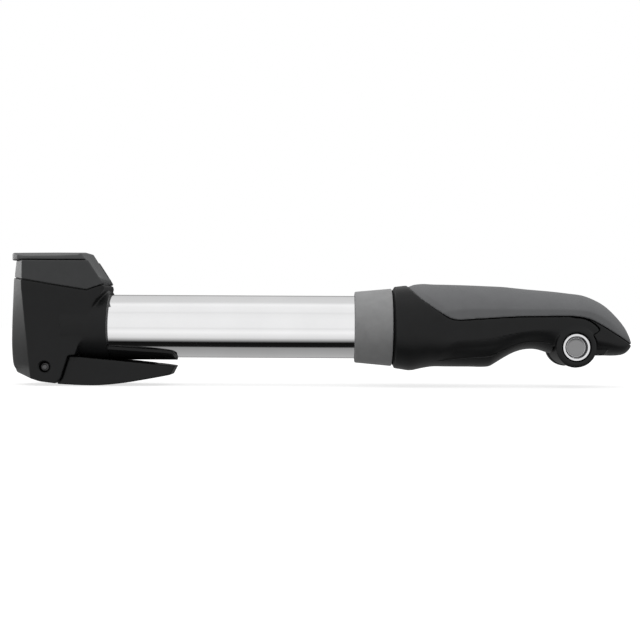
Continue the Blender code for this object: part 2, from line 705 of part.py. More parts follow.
def main():
    clear_scene()
    black = make_material("black moulded plastic", (0.030, 0.031, 0.034), 0.42)
    cap_black = make_material("dark grey moulded plastic", (0.07, 0.07, 0.075), 0.45)
    grey = make_material("grey soft-touch plastic", (0.24, 0.24, 0.245), 0.6)
    collar_grey = make_material("grey satin plastic", (0.25, 0.25, 0.25), 0.5)
    polished = make_material("polished aluminium", (0.86, 0.86, 0.87), 0.12, 1.0)
    satin = make_material("satin aluminium", (0.75, 0.75, 0.77), 0.35, 1.0)
    steel = make_material("plated steel", (0.65, 0.65, 0.67), 0.25, 1.0)
    rubber = make_material("black rubber", (0.02, 0.02, 0.02), 0.8)
    nylon = make_material("natural nylon", (0.75, 0.74, 0.70), 0.5)

    lever_hub = joint_empty("lever pivot", (LEVER_X, 0, LEVER_Z))
    plunger_slide = joint_empty("plunger slide", (VALVE_X, 0, 0))
    cover_hinge = joint_empty("cover hinge", (COVER_X, 0, COVER_Z))
    inner_slide = joint_empty("inner barrel slide", (INNER_START, 0, 0))
    piston_slide = joint_empty("piston slide", (ROD_START, 0, 0))
    handle_turn = joint_empty("handle turn", (ROD_END, 0, 0))
    grip_hinge = joint_empty("grip hinge", (PIVOT_X, 0, PIVOT_Z))

    make_head_body(black)
    make_head_cap(cap_black)
    make_valve_fittings(rubber, steel, nylon, plunger_slide)
    make_clamp_lever(black, lever_hub)
    make_dust_cover(grey, rubber, steel, cover_hinge)
    make_barrel(polished, collar_grey, nylon, rubber)
    make_inner_barrel(satin, nylon, rubber, inner_slide)
    make_piston(nylon, rubber, piston_slide)
    make_rod(satin, steel, handle_turn)
    make_neck(black, handle_turn)
    make_grip_pin(steel, handle_turn)
    make_grip(black, grey, grip_hinge)
    bpy.context.view_layer.update()


main()
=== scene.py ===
"""Telescopic bicycle mini pump: its finished surfaces, materials, lights and camera.

The pump lies along X with its valve head at the origin and its folded grip at +X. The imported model
is the fixed frame: it gives every position, and each piece here rides on one of its bodies.
Outlines and sizes inside the functions are in millimetres, and meshes are scaled to metres.
"""

import json
import math

import bmesh
import bpy
from mathutils import Matrix, Vector


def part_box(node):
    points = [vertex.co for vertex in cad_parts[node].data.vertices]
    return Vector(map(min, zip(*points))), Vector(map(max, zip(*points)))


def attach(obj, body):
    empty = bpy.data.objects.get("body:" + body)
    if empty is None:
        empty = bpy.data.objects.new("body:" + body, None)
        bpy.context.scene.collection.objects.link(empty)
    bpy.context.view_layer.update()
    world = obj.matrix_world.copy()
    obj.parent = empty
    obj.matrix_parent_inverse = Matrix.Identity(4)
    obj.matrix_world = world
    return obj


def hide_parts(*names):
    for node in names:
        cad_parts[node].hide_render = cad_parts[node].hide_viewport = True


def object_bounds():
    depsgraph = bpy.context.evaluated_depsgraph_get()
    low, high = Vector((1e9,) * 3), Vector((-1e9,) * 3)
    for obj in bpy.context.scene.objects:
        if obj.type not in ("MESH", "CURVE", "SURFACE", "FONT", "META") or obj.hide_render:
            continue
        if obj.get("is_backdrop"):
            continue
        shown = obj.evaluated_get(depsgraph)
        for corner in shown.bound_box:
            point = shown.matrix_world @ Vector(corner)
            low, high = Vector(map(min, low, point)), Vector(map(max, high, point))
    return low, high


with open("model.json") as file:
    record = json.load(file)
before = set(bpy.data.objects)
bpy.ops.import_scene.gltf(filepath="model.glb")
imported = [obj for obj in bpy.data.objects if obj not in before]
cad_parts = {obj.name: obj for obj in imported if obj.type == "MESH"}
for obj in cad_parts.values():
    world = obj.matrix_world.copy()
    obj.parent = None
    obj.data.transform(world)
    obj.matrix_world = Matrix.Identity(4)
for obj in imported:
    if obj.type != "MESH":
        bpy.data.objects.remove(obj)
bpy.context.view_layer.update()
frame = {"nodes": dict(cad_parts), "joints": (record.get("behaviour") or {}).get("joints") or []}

bl_info = {
    "name": "Mini Pump",
    "version": (1, 0, 0),
    "blender": (4, 5, 0),
    "location": "3D View > Sidebar > Mini Pump",
    "description": "Builds the finished surfaces of a telescopic bicycle mini pump",
    "category": "Add Mesh",
}

MM = 0.001
ACROSS = 40.0  # reaches past the pump's whole width
GAP = 0.3  # between pieces that meet


def node_mm(node):
    """A node's lowest and highest corners in millimetres."""
    low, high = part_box(node)
    return Vector(low) / MM, Vector(high) / MM


def joint_mm(name):
    """The place of a hinge's axis in millimetres."""
    joint = next(j for j in frame["joints"] if j["name"] == name)
    return Vector(joint["pos_m"]) / MM


BARREL_LOW, BARREL_HIGH = node_mm("outer_barrel")
COLLAR_LOW, COLLAR_HIGH = node_mm("collar")
LEVER_PIVOT = joint_mm("lever_swing")
COVER_PIVOT = joint_mm("cover_flip")
GRIP_PIVOT = joint_mm("grip_fold")
VALVE_X = LEVER_PIVOT.x
LEVER_AXIS, COVER_AXIS, GRIP_AXIS = (
    {"axis": "Y", "centre": (pivot.x, 0, pivot.z)} for pivot in (LEVER_PIVOT, COVER_PIVOT, GRIP_PIVOT))
VALVE_AXIS = {"axis": "Z", "centre": (VALVE_X, 0, 0)}


class PumpSizes(bpy.types.PropertyGroup):
    """Sizes that a user would change."""

    barrel_radius: bpy.props.FloatProperty(
        name="Barrel Radius", description="Outer radius of the polished barrel",
        default=BARREL_HIGH.z * MM, unit="LENGTH")
    collar_end_radius: bpy.props.FloatProperty(
        name="Collar End Radius", description="Outer radius of the collar at the handle's side",
        default=COLLAR_HIGH.z * MM, unit="LENGTH")
    edge_ease: bpy.props.FloatProperty(
        name="Edge Ease", description="Radius that turned edges are eased to",
        default=0.0004, unit="LENGTH")
    voxel: bpy.props.FloatProperty(
        name="Moulding Resolution", description="Mesh size of the moulded pieces before thinning",
        default=0.00036, unit="LENGTH", precision=5)
    floor_drop: bpy.props.FloatProperty(
        name="Floor Drop", description="Depth of the floor below the pump's lowest point",
        default=0.0002, unit="LENGTH")


def colour(name, description, default):
    return bpy.props.FloatVectorProperty(
        name=name, description=description, default=default, subtype="COLOR", min=0, max=1)


class PumpColours(bpy.types.PropertyGroup):
    """Base colours of the finishes, in linear light."""

    shell_black: colour("Shell Black", "Moulded head, lever, neck and grip frame", (0.0105, 0.0108, 0.0112))
    cap_grey: colour("Cap Grey", "Dark grey cap of the head", (0.036, 0.037, 0.038))
    soft_grey: colour("Soft Grey", "Soft-touch cover of the grip", (0.140, 0.142, 0.146))
    lid_grey: colour("Lid Grey", "Hinged dust cover", (0.066, 0.068, 0.069))
    collar_grey: colour("Collar Grey", "Collar between barrel and handle", (0.25, 0.251, 0.253))
    aluminium: colour("Aluminium", "Barrel, inner barrel and rod", (0.90, 0.90, 0.905))
    steel: colour("Steel", "Rivet, pins and screw", (0.80, 0.80, 0.81))
    rubber: colour("Rubber", "Seals and wipers", (0.012, 0.012, 0.012))
    nylon: colour("Nylon", "Bushes, pistons and plunger", (0.70, 0.69, 0.65))


def sizes():
    return bpy.context.scene.pump_sizes


def colours():
    return bpy.context.scene.pump_colours


# ---- Modelling helpers -------------------------------------------------------------------------


def new_object(name, bm):
    """Makes an object from a bmesh in millimetres, with its place in its mesh."""
    bmesh.ops.remove_doubles(bm, verts=bm.verts, dist=0.002)
    bmesh.ops.recalc_face_normals(bm, faces=bm.faces)
    bmesh.ops.scale(bm, vec=(MM, MM, MM), verts=bm.verts)
    mesh = bpy.data.meshes.new(name)
    bm.to_mesh(mesh)
    bm.free()
    obj = bpy.data.objects.new(name, mesh)
    bpy.context.scene.collection.objects.link(obj)
    return obj


def prism(name, outline, low, high, along="Y"):
    """An outline extruded between two values of an axis: XZ along Y, XY along Z, YZ along X."""
    place = {
        "X": lambda a, b: (low, a, b),
        "Y": lambda a, b: (a, low, b),
        "Z": lambda a, b: (a, b, low),
    }[along]
    depth = Vector([(high - low) * (axis == along) for axis in "XYZ"])
    bm = bmesh.new()
    face = bm.faces.new([bm.verts.new(place(*point)) for point in outline])
    made = bmesh.ops.extrude_face_region(bm, geom=[face])
    moved = [item for item in made["geom"] if isinstance(item, bmesh.types.BMVert)]
    bmesh.ops.translate(bm, vec=depth, verts=moved)
    return new_object(name, bm)


def eased(points, radius, count=3):
    """A profile with each corner off the axis replaced by a short curve."""
    result = []
    for i, point in enumerate(points):
        here = Vector(point)
        if point[1] <= 0.001:
            result.append(tuple(here))
            continue
        before = Vector(points[i - 1]) - here
        after = Vector(points[(i + 1) % len(points)]) - here
        reach = min(radius, before.length * 0.45, after.length * 0.45)
        start, end = here + before.normalized() * reach, here + after.normalized() * reach
        for k in range(count + 1):
            t = k / count
            result.append(tuple(start * (1 - t) ** 2 + here * 2 * t * (1 - t) + end * t**2))
    return result


def turned(name, profile, axis="X", centre=(0, 0, 0), steps=128):
    """A closed profile of (along, radius) points, spun about an axis through centre."""
    bm = bmesh.new()
    ring = [bm.verts.new((along, 0, max(radius, 0))) for along, radius in profile]
    edges = [bm.edges.new((ring[i - 1], ring[i])) for i in range(len(ring))]
    bmesh.ops.spin(
        bm, geom=ring + edges, cent=(0, 0, 0), axis=(1, 0, 0), dvec=(0, 0, 0),
        angle=math.tau, steps=steps, use_merge=True, use_duplicate=False,
    )
    turn = {
        "X": Matrix.Identity(3),
        "Y": Matrix.Rotation(math.radians(90), 3, "Z"),
        "Z": Matrix.Rotation(math.radians(-90), 3, "Y"),
    }[axis]
    bmesh.ops.rotate(bm, cent=(0, 0, 0), matrix=turn, verts=bm.verts)
    bmesh.ops.translate(bm, vec=centre, verts=bm.verts)
    return new_object(name, bm)


def loft(name, rings):
    """A solid skinned over a row of closed rings of points."""
    bm = bmesh.new()
    last = None
    for ring in rings:
        verts = [bm.verts.new(point) for point in ring]
        edges = [bm.edges.new((verts[i - 1], verts[i])) for i in range(len(verts))]
        if last:
            bmesh.ops.bridge_loops(bm, edges=last + edges)
        else:
            bm.faces.new(verts)
        last = edges
    bm.faces.new(verts)
    bmesh.ops.triangulate(bm, faces=bm.faces)
    return new_object(name, bm)


def mirrored(side):
    """One side of an outline and its mirror image; points on the middle line are not doubled."""
    return side + [(x, -y) for x, y in reversed(side) if y]


def rod(name, start, end, radius, axis="X", centre=(0, 0, 0), steps=96):
    return turned(name, [(start, 0), (start, radius), (end, radius), (end, 0)], axis, centre, steps)


def tube(name, start, end, bore, radius, axis="X", centre=(0, 0, 0), steps=96):
    profile = [(start, bore), (start, radius), (end, radius), (end, bore)]
    return turned(name, profile, axis, centre, steps)


def apply_modifiers(obj):
    """Replaces an object's mesh by what its modifiers make of it."""
    depsgraph = bpy.context.evaluated_depsgraph_get()
    made = bpy.data.meshes.new_from_object(obj.evaluated_get(depsgraph))
    obj.modifiers.clear()
    old = obj.data
    obj.data = made
    bpy.data.meshes.remove(old)
    return obj


def combine(obj, other, operation, solver="EXACT"):
    """Applies a Boolean at once and removes the other object."""
    modifier = obj.modifiers.new(operation, "BOOLEAN")
    modifier.operation = operation
    modifier.solver = solver
    modifier.object = other
    apply_modifiers(obj)
    bpy.data.objects.remove(other)
    return obj


def cut(obj, *others, solver="EXACT"):
    for other in others:
        combine(obj, other, "DIFFERENCE", solver)
    return obj


def join(obj, *others, solver="EXACT"):
    for other in others:
        combine(obj, other, "UNION", solver)
    return obj


def common(obj, *others, solver="EXACT"):
    for other in others:
        combine(obj, other, "INTERSECT", solver)
    return obj


def relax(bm, verts, rounds):
    for _ in range(rounds):
        bmesh.ops.smooth_vert(bm, verts=verts, factor=0.5, use_axis_x=True, use_axis_y=True,
                              use_axis_z=True)


def mould(obj, rounds, blends=(), keep=0.5, voxel_scale=1.0):
    """Gives a sharp solid the soft edges of a moulding.

    The solid is remeshed finely and relaxed a few times. Each blend is (centre, radius, rounds):
    a place in millimetres where the surface is relaxed further, so that it flows.
    """
    remesh = obj.modifiers.new("remesh", "REMESH")
    remesh.mode = "VOXEL"
    remesh.voxel_size = sizes().voxel * voxel_scale
    apply_modifiers(obj)
    bm = bmesh.new()
    bm.from_mesh(obj.data)
    relax(bm, bm.verts, rounds)
    for centre, radius, extra in blends:
        middle, reach = Vector(centre) * MM, radius * MM
        relax(bm, [v for v in bm.verts if (v.co - middle).length < reach], extra)
    bm.to_mesh(obj.data)
    bm.free()
    thin = obj.modifiers.new("thin", "DECIMATE")
    thin.ratio = keep
    apply_modifiers(obj)
    obj.data.shade_smooth()
    return obj


def arc(centre, radius, start_deg, end_deg, count):
    """Points of an arc in a plane, counted from its first axis towards its second."""
    points = []
    for i in range(count + 1):
        angle = math.radians(start_deg + (end_deg - start_deg) * i / count)
        points.append((centre[0] + radius * math.cos(angle), centre[1] + radius * math.sin(angle)))
    return points


def offset_line(points, distance):
    """An open line moved to its left by distance, corner by corner."""
    points = [Vector(point) for point in points]
    moved = []
    for i, point in enumerate(points):
        before = (point - points[max(0, i - 1)]) or (points[1] - point)
        after = (points[min(len(points) - 1, i + 1)] - point) or before
        n0 = Vector((-before.y, before.x)).normalized()
        n1 = Vector((-after.y, after.x)).normalized()
        moved.append(tuple(point + (n0 + n1) / (1 + n0.dot(n1)) * distance))
    return moved


def through(points, per_span=6):
    """A smooth line through a few points (Catmull-Rom)."""
    points = [Vector(point) for point in points]
    padded = [points[0] * 2 - points[1]] + points + [points[-1] * 2 - points[-2]]
    line = []
    for i in range(len(points) - 1):
        p0, p1, p2, p3 = padded[i : i + 4]
        for k in range(per_span):
            t = k / per_span
            line.append(tuple(0.5 * (
                2 * p1 + (p2 - p0) * t + (2 * p0 - 5 * p1 + 4 * p2 - p3) * t**2
                + (3 * p1 - p0 - 3 * p2 + p3) * t**3)))
    return line + [tuple(points[-1])]


def finish_piece(obj, body, slot, material, *nodes):
    """Gives a piece its material, and says what it rides on and which nodes it stands for."""
    obj.data.materials.clear()
    obj.data.materials.append(material)
    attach(obj, body)
    if nodes:
        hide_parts(*nodes)
    return obj


def smooth_by_angle(obj, degrees=32):
    obj.data.shade_smooth()
    obj.data.set_sharp_from_angle(angle=math.radians(degrees))
    return obj


def turned_piece(name, profile, *finishing, degrees=32, **place):
    """A turned solid, shaded and given its body, material and nodes; the slot it is passed is not used."""
    piece = turned(name, profile, **place)
    smooth_by_angle(piece, degrees)
    return finish_piece(piece, *finishing)


# ---- Materials ---------------------------------------------------------------------------------


class NodeChain:
    """Short ways to add and link the nodes of one material."""

    def __init__(self, name):
        self.material = bpy.data.materials.new(name)
        self.material.use_nodes = True
        self.nodes = self.material.node_tree.nodes
        self.links = self.material.node_tree.links
        self.shader = self.nodes["Principled BSDF"]
        self.position = self.nodes.new("ShaderNodeTexCoord").outputs["Object"]

    def noise(self, scale, detail=2.0, roughness=0.5, stretch=None):
        node = self.nodes.new("ShaderNodeTexNoise")
        node.inputs["Scale"].default_value = scale
        node.inputs["Detail"].default_value = detail
        node.inputs["Roughness"].default_value = roughness
        source = self.position
        if stretch:
            mapping = self.nodes.new("ShaderNodeMapping")
            mapping.inputs["Scale"].default_value = stretch
            self.links.new(self.position, mapping.inputs["Vector"])
            source = mapping.outputs["Vector"]
        self.links.new(source, node.inputs["Vector"])
        return node.outputs["Fac"]

    def ranged(self, value, low, high, start=0.3, end=0.7):
        node = self.nodes.new("ShaderNodeMapRange")
        node.inputs["From Min"].default_value = start
        node.inputs["From Max"].default_value = end
        node.inputs["To Min"].default_value = low
        node.inputs["To Max"].default_value = high
        self.links.new(value, node.inputs["Value"])
        return node.outputs["Result"]

    def tinted(self, base, value, low, high):
        """The base colour made darker and lighter by a pattern."""
        mix = self.nodes.new("ShaderNodeMix")
        mix.data_type = "RGBA"
        mix.inputs["A"].default_value = (*[c * low for c in base], 1)
        mix.inputs["B"].default_value = (*[min(1, c * high) for c in base], 1)
        self.links.new(self.ranged(value, 0, 1), mix.inputs["Factor"])
        self.links.new(mix.outputs["Result"], self.shader.inputs["Base Color"])

    def bump(self, value, distance, strength=1.0, under=None):
        node = self.nodes.new("ShaderNodeBump")
        node.inputs["Distance"].default_value = distance
        node.inputs["Strength"].default_value = strength
        self.links.new(value, node.inputs["Height"])
        if under:
            self.links.new(under, node.inputs["Normal"])
        self.links.new(node.outputs["Normal"], self.shader.inputs["Normal"])
        return node.outputs["Normal"]

    def set(self, **values):
        for name, value in values.items():
            self.shader.inputs[name.replace("_", " ")].default_value = value


def moulded_plastic(name, base, roughness, grain=0.00002, gloss=0.5):
    """Injection-moulded plastic: a fine spark-eroded grain, slow gloss changes, faint handling marks."""
    chain = NodeChain(name)
    chain.set(IOR=1.49, Metallic=0.0, Specular_IOR_Level=gloss)
    grain_pattern = chain.noise(2600, 3.0, 0.6)
    cloud = chain.noise(55, 3.0, 0.55)
    chain.tinted(base, chain.noise(210, 4.0, 0.6), 0.93, 1.08)
    chain.links.new(chain.ranged(cloud, roughness - 0.05, roughness + 0.06), chain.shader.inputs["Roughness"])
    waviness = chain.bump(chain.noise(90, 2.0, 0.4), 0.00008, 0.25)
    chain.bump(grain_pattern, grain, 1.0, waviness)
    return chain.material


def soft_touch(name, base, roughness):
    """Matte soft-touch coating: a very fine velvety grain with a faint sheen at grazing angles."""
    chain = NodeChain(name)
    chain.set(IOR=1.45, Metallic=0.0, Specular_IOR_Level=0.3)
    chain.tinted(base, chain.noise(160, 4.0, 0.6), 0.96, 1.04)
    chain.links.new(chain.ranged(chain.noise(40, 3.0, 0.5), roughness - 0.04, roughness + 0.05),
                    chain.shader.inputs["Roughness"])
    chain.bump(chain.noise(3200, 3.0, 0.6), 0.000025)
    return chain.material


def drawn_metal(name, base, roughness, lines, along):
    """Metal with fine lines left by drawing or turning; along stretches the pattern."""
    chain = NodeChain(name)
    chain.set(Metallic=1.0)
    line_pattern = chain.noise(lines, 3.0, 0.65, stretch=along)
    chain.tinted(base, chain.noise(70, 3.0, 0.5), 0.97, 1.0)
    smudges = chain.noise(38, 4.0, 0.6)
    chain.links.new(chain.ranged(smudges, roughness * 0.75, roughness * 1.35),
                    chain.shader.inputs["Roughness"])
    chain.bump(line_pattern, 0.000006, 0.35)
    return chain.material


def rubber_finish(name, base):
    chain = NodeChain(name)
    chain.set(IOR=1.52, Metallic=0.0)
    chain.tinted(base, chain.noise(260, 3.0, 0.6), 0.85, 1.25)
    chain.links.new(chain.ranged(chain.noise(60), 0.6, 0.8), chain.shader.inputs["Roughness"])
    chain.bump(chain.noise(1800, 2.0), 0.00003)
    return chain.material


def finish(name):
    """The material of that name, made on first use from the colours in the panel."""
    made = bpy.data.materials.get(name)
    if made:
        return made
    tint = colours()
    makers = {
        "shell_black": lambda: moulded_plastic(name, tint.shell_black, 0.36, gloss=0.20),
        "cap_black": lambda: moulded_plastic(name, tint.cap_grey, 0.36, gloss=0.35),
        "lid_grey": lambda: moulded_plastic(name, tint.lid_grey, 0.36, gloss=0.45),
        "collar_grey": lambda: moulded_plastic(name, tint.collar_grey, 0.45, grain=0.000012, gloss=0.35),
        "soft_grey": lambda: soft_touch(name, tint.soft_grey, 0.55),
        "polished_tube": lambda: drawn_metal(name, tint.aluminium, 0.06, 420, along=(1, 30, 30)),
        "satin_tube": lambda: drawn_metal(name, tint.aluminium, 0.28, 500, along=(1, 30, 30)),
        "bright_steel": lambda: drawn_metal(name, tint.steel, 0.16, 900, along=(1, 1, 1)),
        "seal_rubber": lambda: rubber_finish(name, tint.rubber),
        "bush_nylon": lambda: moulded_plastic(name, tint.nylon, 0.5),
        "cap_nylon": lambda: moulded_plastic(name, tint.shell_black, 0.45),
        # the rivet's dish: its steel painted at a third of its brightness, as painted shade in the recess
        "painted_shade_dish_steel": lambda: drawn_metal(name, [c * 0.34 for c in tint.steel], 0.34, 900, along=(1, 1, 1)),
        # the lever pin: steel painted at 0.12 of its brightness, as painted shade in its recessed ends
        "painted_shade_pin_steel": lambda: drawn_metal(name, [c * 0.12 for c in tint.steel], 0.35, 900, along=(1, 1, 1)),
    }
    return makers[name]()


# ---- Pump head ---------------------------------------------------------------------------------

HEAD_HALF_WIDTH = 14.6
CAP_SEAM = [(-2.0, 22.1), (8.5, 20.3), (22.0, 18.0), (36.3, 15.8), (43.3, 18.4)]
HEAD_FOOT = [(16.0, -24.4), (3.0, -20.4), (-2.0, -18.2)]
NOSE = [(-30, 3.5), (-20.5, 2.2), (-17.5, 0.8), (-13.0, 0.25), (-7.0, 0.0), (1.2, 0.12), (9.7, 0.4),
        (22.0, 0.9), (29.0, 1.6), (40.0, 2.6)]  # height, and how far the nose stands back there
SEAM_TOP, SEAM_FOOT = (28.35, -13.1), (24.6, -25.0)
SLEEVE_R, SLEEVE_END = 15.4, 45.0
KNUCKLE_R = 1.9


def head_plan(name, half, right, crease=(7.9, 7.9), shift=0.0):
    """The head's form from above: a rounded nose, a flat chamfer at each side, and a right end.

    The nose stands back by the amounts in NOSE. Crease gives the chamfer's end at the bottom and
    at the top.
    """
    rings = []
    for z, depth in through(NOSE, 5):
        share = (z - NOSE[0][0]) / (NOSE[-1][0] - NOSE[0][0])
        end = shift + depth
        edge = crease[0] + (crease[1] - crease[0]) * min(1.0, share * 1.45)
        side = [(end, 0.0), (end + 0.85, -3.0), (end + 1.7, -6.3), (edge, -half)]
        side += [(x, -y) for x, y in right]
        rings.append([(x, y, z) for x, y in mirrored(side)])
    return loft(name, rings)


def seam_to_arc(offset, radius, end_deg):
    """The lever's seam from its top down to where it leaves for an arc about the lever's pin."""
    top, foot = Vector(SEAM_TOP), Vector(SEAM_FOOT)
    along = (foot - top).normalized()
    normal = Vector((-along.y, along.x))
    pin = Vector((LEVER_PIVOT.x, LEVER_PIVOT.z))
    distance = (top - pin).dot(normal) + offset
    meet = pin + normal * distance + along * math.sqrt(radius**2 - distance**2)
    start_deg = math.degrees(math.atan2(meet.y - pin.y, meet.x - pin.x))
    return [tuple(top + normal * offset)] + arc(pin, radius, start_deg, end_deg, 8)


def build_head_body():
    seam = [(x, z - GAP / 2) for x, z in CAP_SEAM]
    right = [(43.7, 16.6), (43.2, 15.0), (41.6, 12.6), (39.4, 9.6), (37.6, 6.0), (36.4, 1.0), (34.8, -5.0),
             (32.4, -9.6), (31.2, -12.75)]
    wall = seam_to_arc(-0.2, 8.6, -57)
    body = prism("head", seam + right + wall + HEAD_FOOT, -ACROSS, ACROSS)
    corner = [(39.5, HEAD_HALF_WIDTH), (42.4, 14.0), (43.7, 12.4), (44.2, 9.0)]
    common(body, head_plan("plan", HEAD_HALF_WIDTH, corner, crease=(13.0, 7.7)))
    join(body, rod("sleeve", 25.0, SLEEVE_END, SLEEVE_R, steps=128))
    blends = [((37.0, side * 14.2, 7.0), 6.5, 26) for side in (-1, 1)]
    blends += [((34.0, side * 14.5, -3.5), 6.5, 26) for side in (-1, 1)]
    mould(body, rounds=4, blends=blends)
    join(body, rod("sleeve", 33.0, SLEEVE_END, SLEEVE_R, steps=256), solver="MANIFOLD")
    slot = arc((LEVER_PIVOT.x, LEVER_PIVOT.z), 8.9, 37.4, 262, 24) + [(20.0, -34), (33, -34), (33, -12.6)]
    cut(
        body,
        prism("slot", slot, -8.5, 8.5),
        rod("chamber", -13, 30.0, 7.3, **VALVE_AXIS),
        rod("socket", 36.3, 80, 14.15, steps=256),
        turned("bore", [(-20, 0), (-20, 2.9), (-14.4, 2.9), (-14.0, 2.45), (14.0, 2.45), (14.4, 2.9),
                        (20, 2.9), (20, 0)], **LEVER_AXIS),
        solver="MANIFOLD",
    )
    smooth_by_angle(body, 38)
    return finish_piece(body, "barrel", "black_plastic", finish("shell_black"), "head_body")


def build_tongue():
    """The curved tongue of the head that hugs the underside of the barrel."""
    side = through([(42.0, 11.3), (50.0, 10.8), (59.5, 10.2), (72.0, 9.2), (73.6, 7.6), (74.3, 4.5),
                    (74.5, 0.0)], 8)
    tongue = tube("saddle_tongue", 42.5, 76.0, 14.18, 15.05, steps=192)
    common(tongue, prism("leaf", mirrored(side), -20, -2, along="Z"))
    smooth_by_angle(tongue)
    return finish_piece(tongue, "barrel", "black_plastic", finish("shell_black"))


def build_cap_gasket():
    """A thin black seal that lies in the seam between head and cap, just inside their outlines."""
    low = [(x, z - 0.13) for x, z in CAP_SEAM[:4]] + [(41.8, 17.6)]
    high = [(x, z + 0.13) for x, z in reversed(CAP_SEAM[:4])]
    gasket = prism("cap_gasket", low + [(41.8, 17.86)] + high, -ACROSS, ACROSS)
    common(gasket, head_plan("plan", 13.6, [(41.0, 13.2), (42.6, 11.0)], shift=0.9))
    cut(gasket, rod("chamber", 0, 40, 7.4, **VALVE_AXIS))
    return finish_piece(gasket, "barrel", "black_rubber", finish("seal_rubber"))


def slope_line(offset):
    """The cover's slope moved inwards by offset: where it bends, where it ends, its direction."""
    hinge = Vector((COVER_PIVOT.x, COVER_PIVOT.z))
    bend = Vector((35.0, 32.5))
    along = (hinge - bend).normalized()
    along.rotate(Matrix.Rotation(math.asin(KNUCKLE_R / (hinge - bend).length), 2))
    normal = Vector((-along.y, along.x))
    return bend - normal * offset, hinge + normal * (KNUCKLE_R - offset), along


def build_head_cap():
    bend, foot, along = slope_line(3.6)
    shoulder = bend + along * ((28.9 - bend.y) / along.y)
    seam = [(x, z + GAP / 2) for x, z in CAP_SEAM[:4]]
    cap = prism("head_top", seam + [(42.9, 18.45), (43.3, 18.9), (36.9, 28.75), (36.5, 28.9), (-2.0, 28.9)],
                -ACROSS, ACROSS)
    common(cap, head_plan("plan", 14.35, [(39.5, 14.35), (42.5, 13.9), (43.8, 13.0)], shift=0.3))
    room = [tuple(shoulder), tuple(foot + along * -1.6), (42.0, 19.4), (42.6, 18.2), (50, 18.2), (50, 35),
            (tuple(shoulder)[0], 35)]
    cut(cap, prism("lid room", room, -13.05, 13.05))
    for side in (-1, 1):
        low, high = sorted((side * 4.5, side * 13.05))
        cut(cap, rod("knuckle room", low, high, 2.25, **COVER_AXIS))
    lug = [(36.5, 17.5), (40.0, 18.3)] + arc((COVER_PIVOT.x, COVER_PIVOT.z), 1.4, -60, 90, 8) + [(36.5, 21.9)]
    join(cap, prism("lug", lug, -4.3, 4.3))
    cut(
        cap,
        rod("roof", 10, 26.4, 7.3, **VALVE_AXIS),
        turned("mouth", [(10, 0), (10, 4.9), (27.6, 4.9), (29.0, 6.0), (40, 6.0), (40, 0)],
               steps=96, **VALVE_AXIS),
    )
    mould(cap, rounds=3, voxel_scale=0.85)
    cut(cap, rod("pin bore", -13.5, 13.5, 0.9, **COVER_AXIS), solver="MANIFOLD")
    smooth_by_angle(cap, 38)
    return finish_piece(cap, "barrel", "dark_grey_plastic", finish("cap_black"), "head_cap")


def build_dust_cover():
    """The hinged lid: a bevelled plate whose right part slopes down to its hinge."""
    bend, foot, _ = slope_line(0.0)
    inner_bend, inner_foot, along = slope_line(3.3)
    normal = Vector((-along.y, along.x))
    under = 29.2
    corner = inner_bend + along * ((under - inner_bend.y) / along.y)
    rings = []
    for y, drop in ((-13.9, 1.0), (-7.8, 0.0), (7.8, 0.0), (13.9, 1.0)):
        edge_bend = bend - normal * 1.35 * drop - along * 0.2 * drop
        outline = [
            (-2.0, under), (-2.0, 32.2 - 1.45 * drop), (8.0, 32.35 - 1.75 * drop), (22.0, 32.5 - 1.7 * drop),
            (bend.x - 3.0, 32.5 - 1.3 * drop), tuple(edge_bend),
            tuple(foot - normal * 1.2 * drop), tuple(inner_foot), tuple(corner),
        ]
        rings.append([(x, y, z) for x, z in outline])
    lid = loft("lid", rings)
    side = [(0.15, 0.0), (0.9, -3.0), (1.8, -6.3), (3.0, -9.0), (5.2, -11.8), (8.2, -13.5), (12.0, -13.9),
            (36.6, -13.9), (36.7, -12.75), (41.6, -12.75), (43.2, -12.2), (44.2, -10.5), (44.8, -7.0)]
    common(lid, prism("plan", mirrored(side), 10, 40, along="Z"))
    for side in (-1, 1):
        low, high = sorted((side * 12.75, side * 20))
        cut(lid, prism("cheek room", [(30, 29.25), (50, 29.25), (50, 10), (30, 10)], low, high))
    join(lid, rod("knuckle", -12.6, 12.6, KNUCKLE_R, **COVER_AXIS))
    mould(lid, rounds=5, voxel_scale=0.85)
    room = [(32, 16), (42.2, 16)] + arc((COVER_PIVOT.x, COVER_PIVOT.z), 1.6, 0, 90, 8) + [
        (36.0, 22.3), (32, 22.3)]
    cut(
        lid,
        prism("lug room", room, -4.7, 4.7),
        rod("pin hole", -12.2, 12.2, 0.9, **COVER_AXIS),
        solver="MANIFOLD",
    )
    smooth_by_angle(lid, 38)
    return finish_piece(lid, "cover", "grey_soft_touch", finish("lid_grey"), "dust_cover")


def build_lever():
    face = seam_to_arc(0.2, 8.85, -54)
    sole = through([(23.5, -25.55), (34.0, -26.05), (43.0, -25.95), (53.0, -24.9), (65.0, -22.9),
                    (72.2, -21.6)], 4)
    half = 12.8
    lever = prism("thumb_lever", face + sole + [(74.4, -17.6)], -half, half)
    side = [(20, -half), (48, -half), (56, -half + 0.5), (64, -half + 1.8), (70, -half + 4.2),
            (74, -half + 7.2), (78, -half + 11)]
    common(lever, prism("plan", mirrored(side), -40, 0, along="Z"))
    arm = [(21.0, -13.6), (30.0, -13.6), (31.0, -25.0), (23.5, -24.0), (19.0, -23.0)]
    join(lever, prism("arm", arm, -8.2, 8.2), prism("cam", cam_outline(), -7.0, 7.0))
    pocket = [(33.0, -10), (33.0, -23.2), (43.0, -23.2), (52.0, -22.2), (64.0, -19.6), (68, -10)]
    cut(
        lever,
        rod("barrel room", 0, 90, 15.75),
        prism("pocket", pocket, -half + 3.0, half - 3.0),
        rod("bore", -20, 20, 2.45, **LEVER_AXIS),
    )
    mould(lever, rounds=4)
    return finish_piece(lever, "lever", "black_plastic", finish("shell_black"), "clamp_lever")


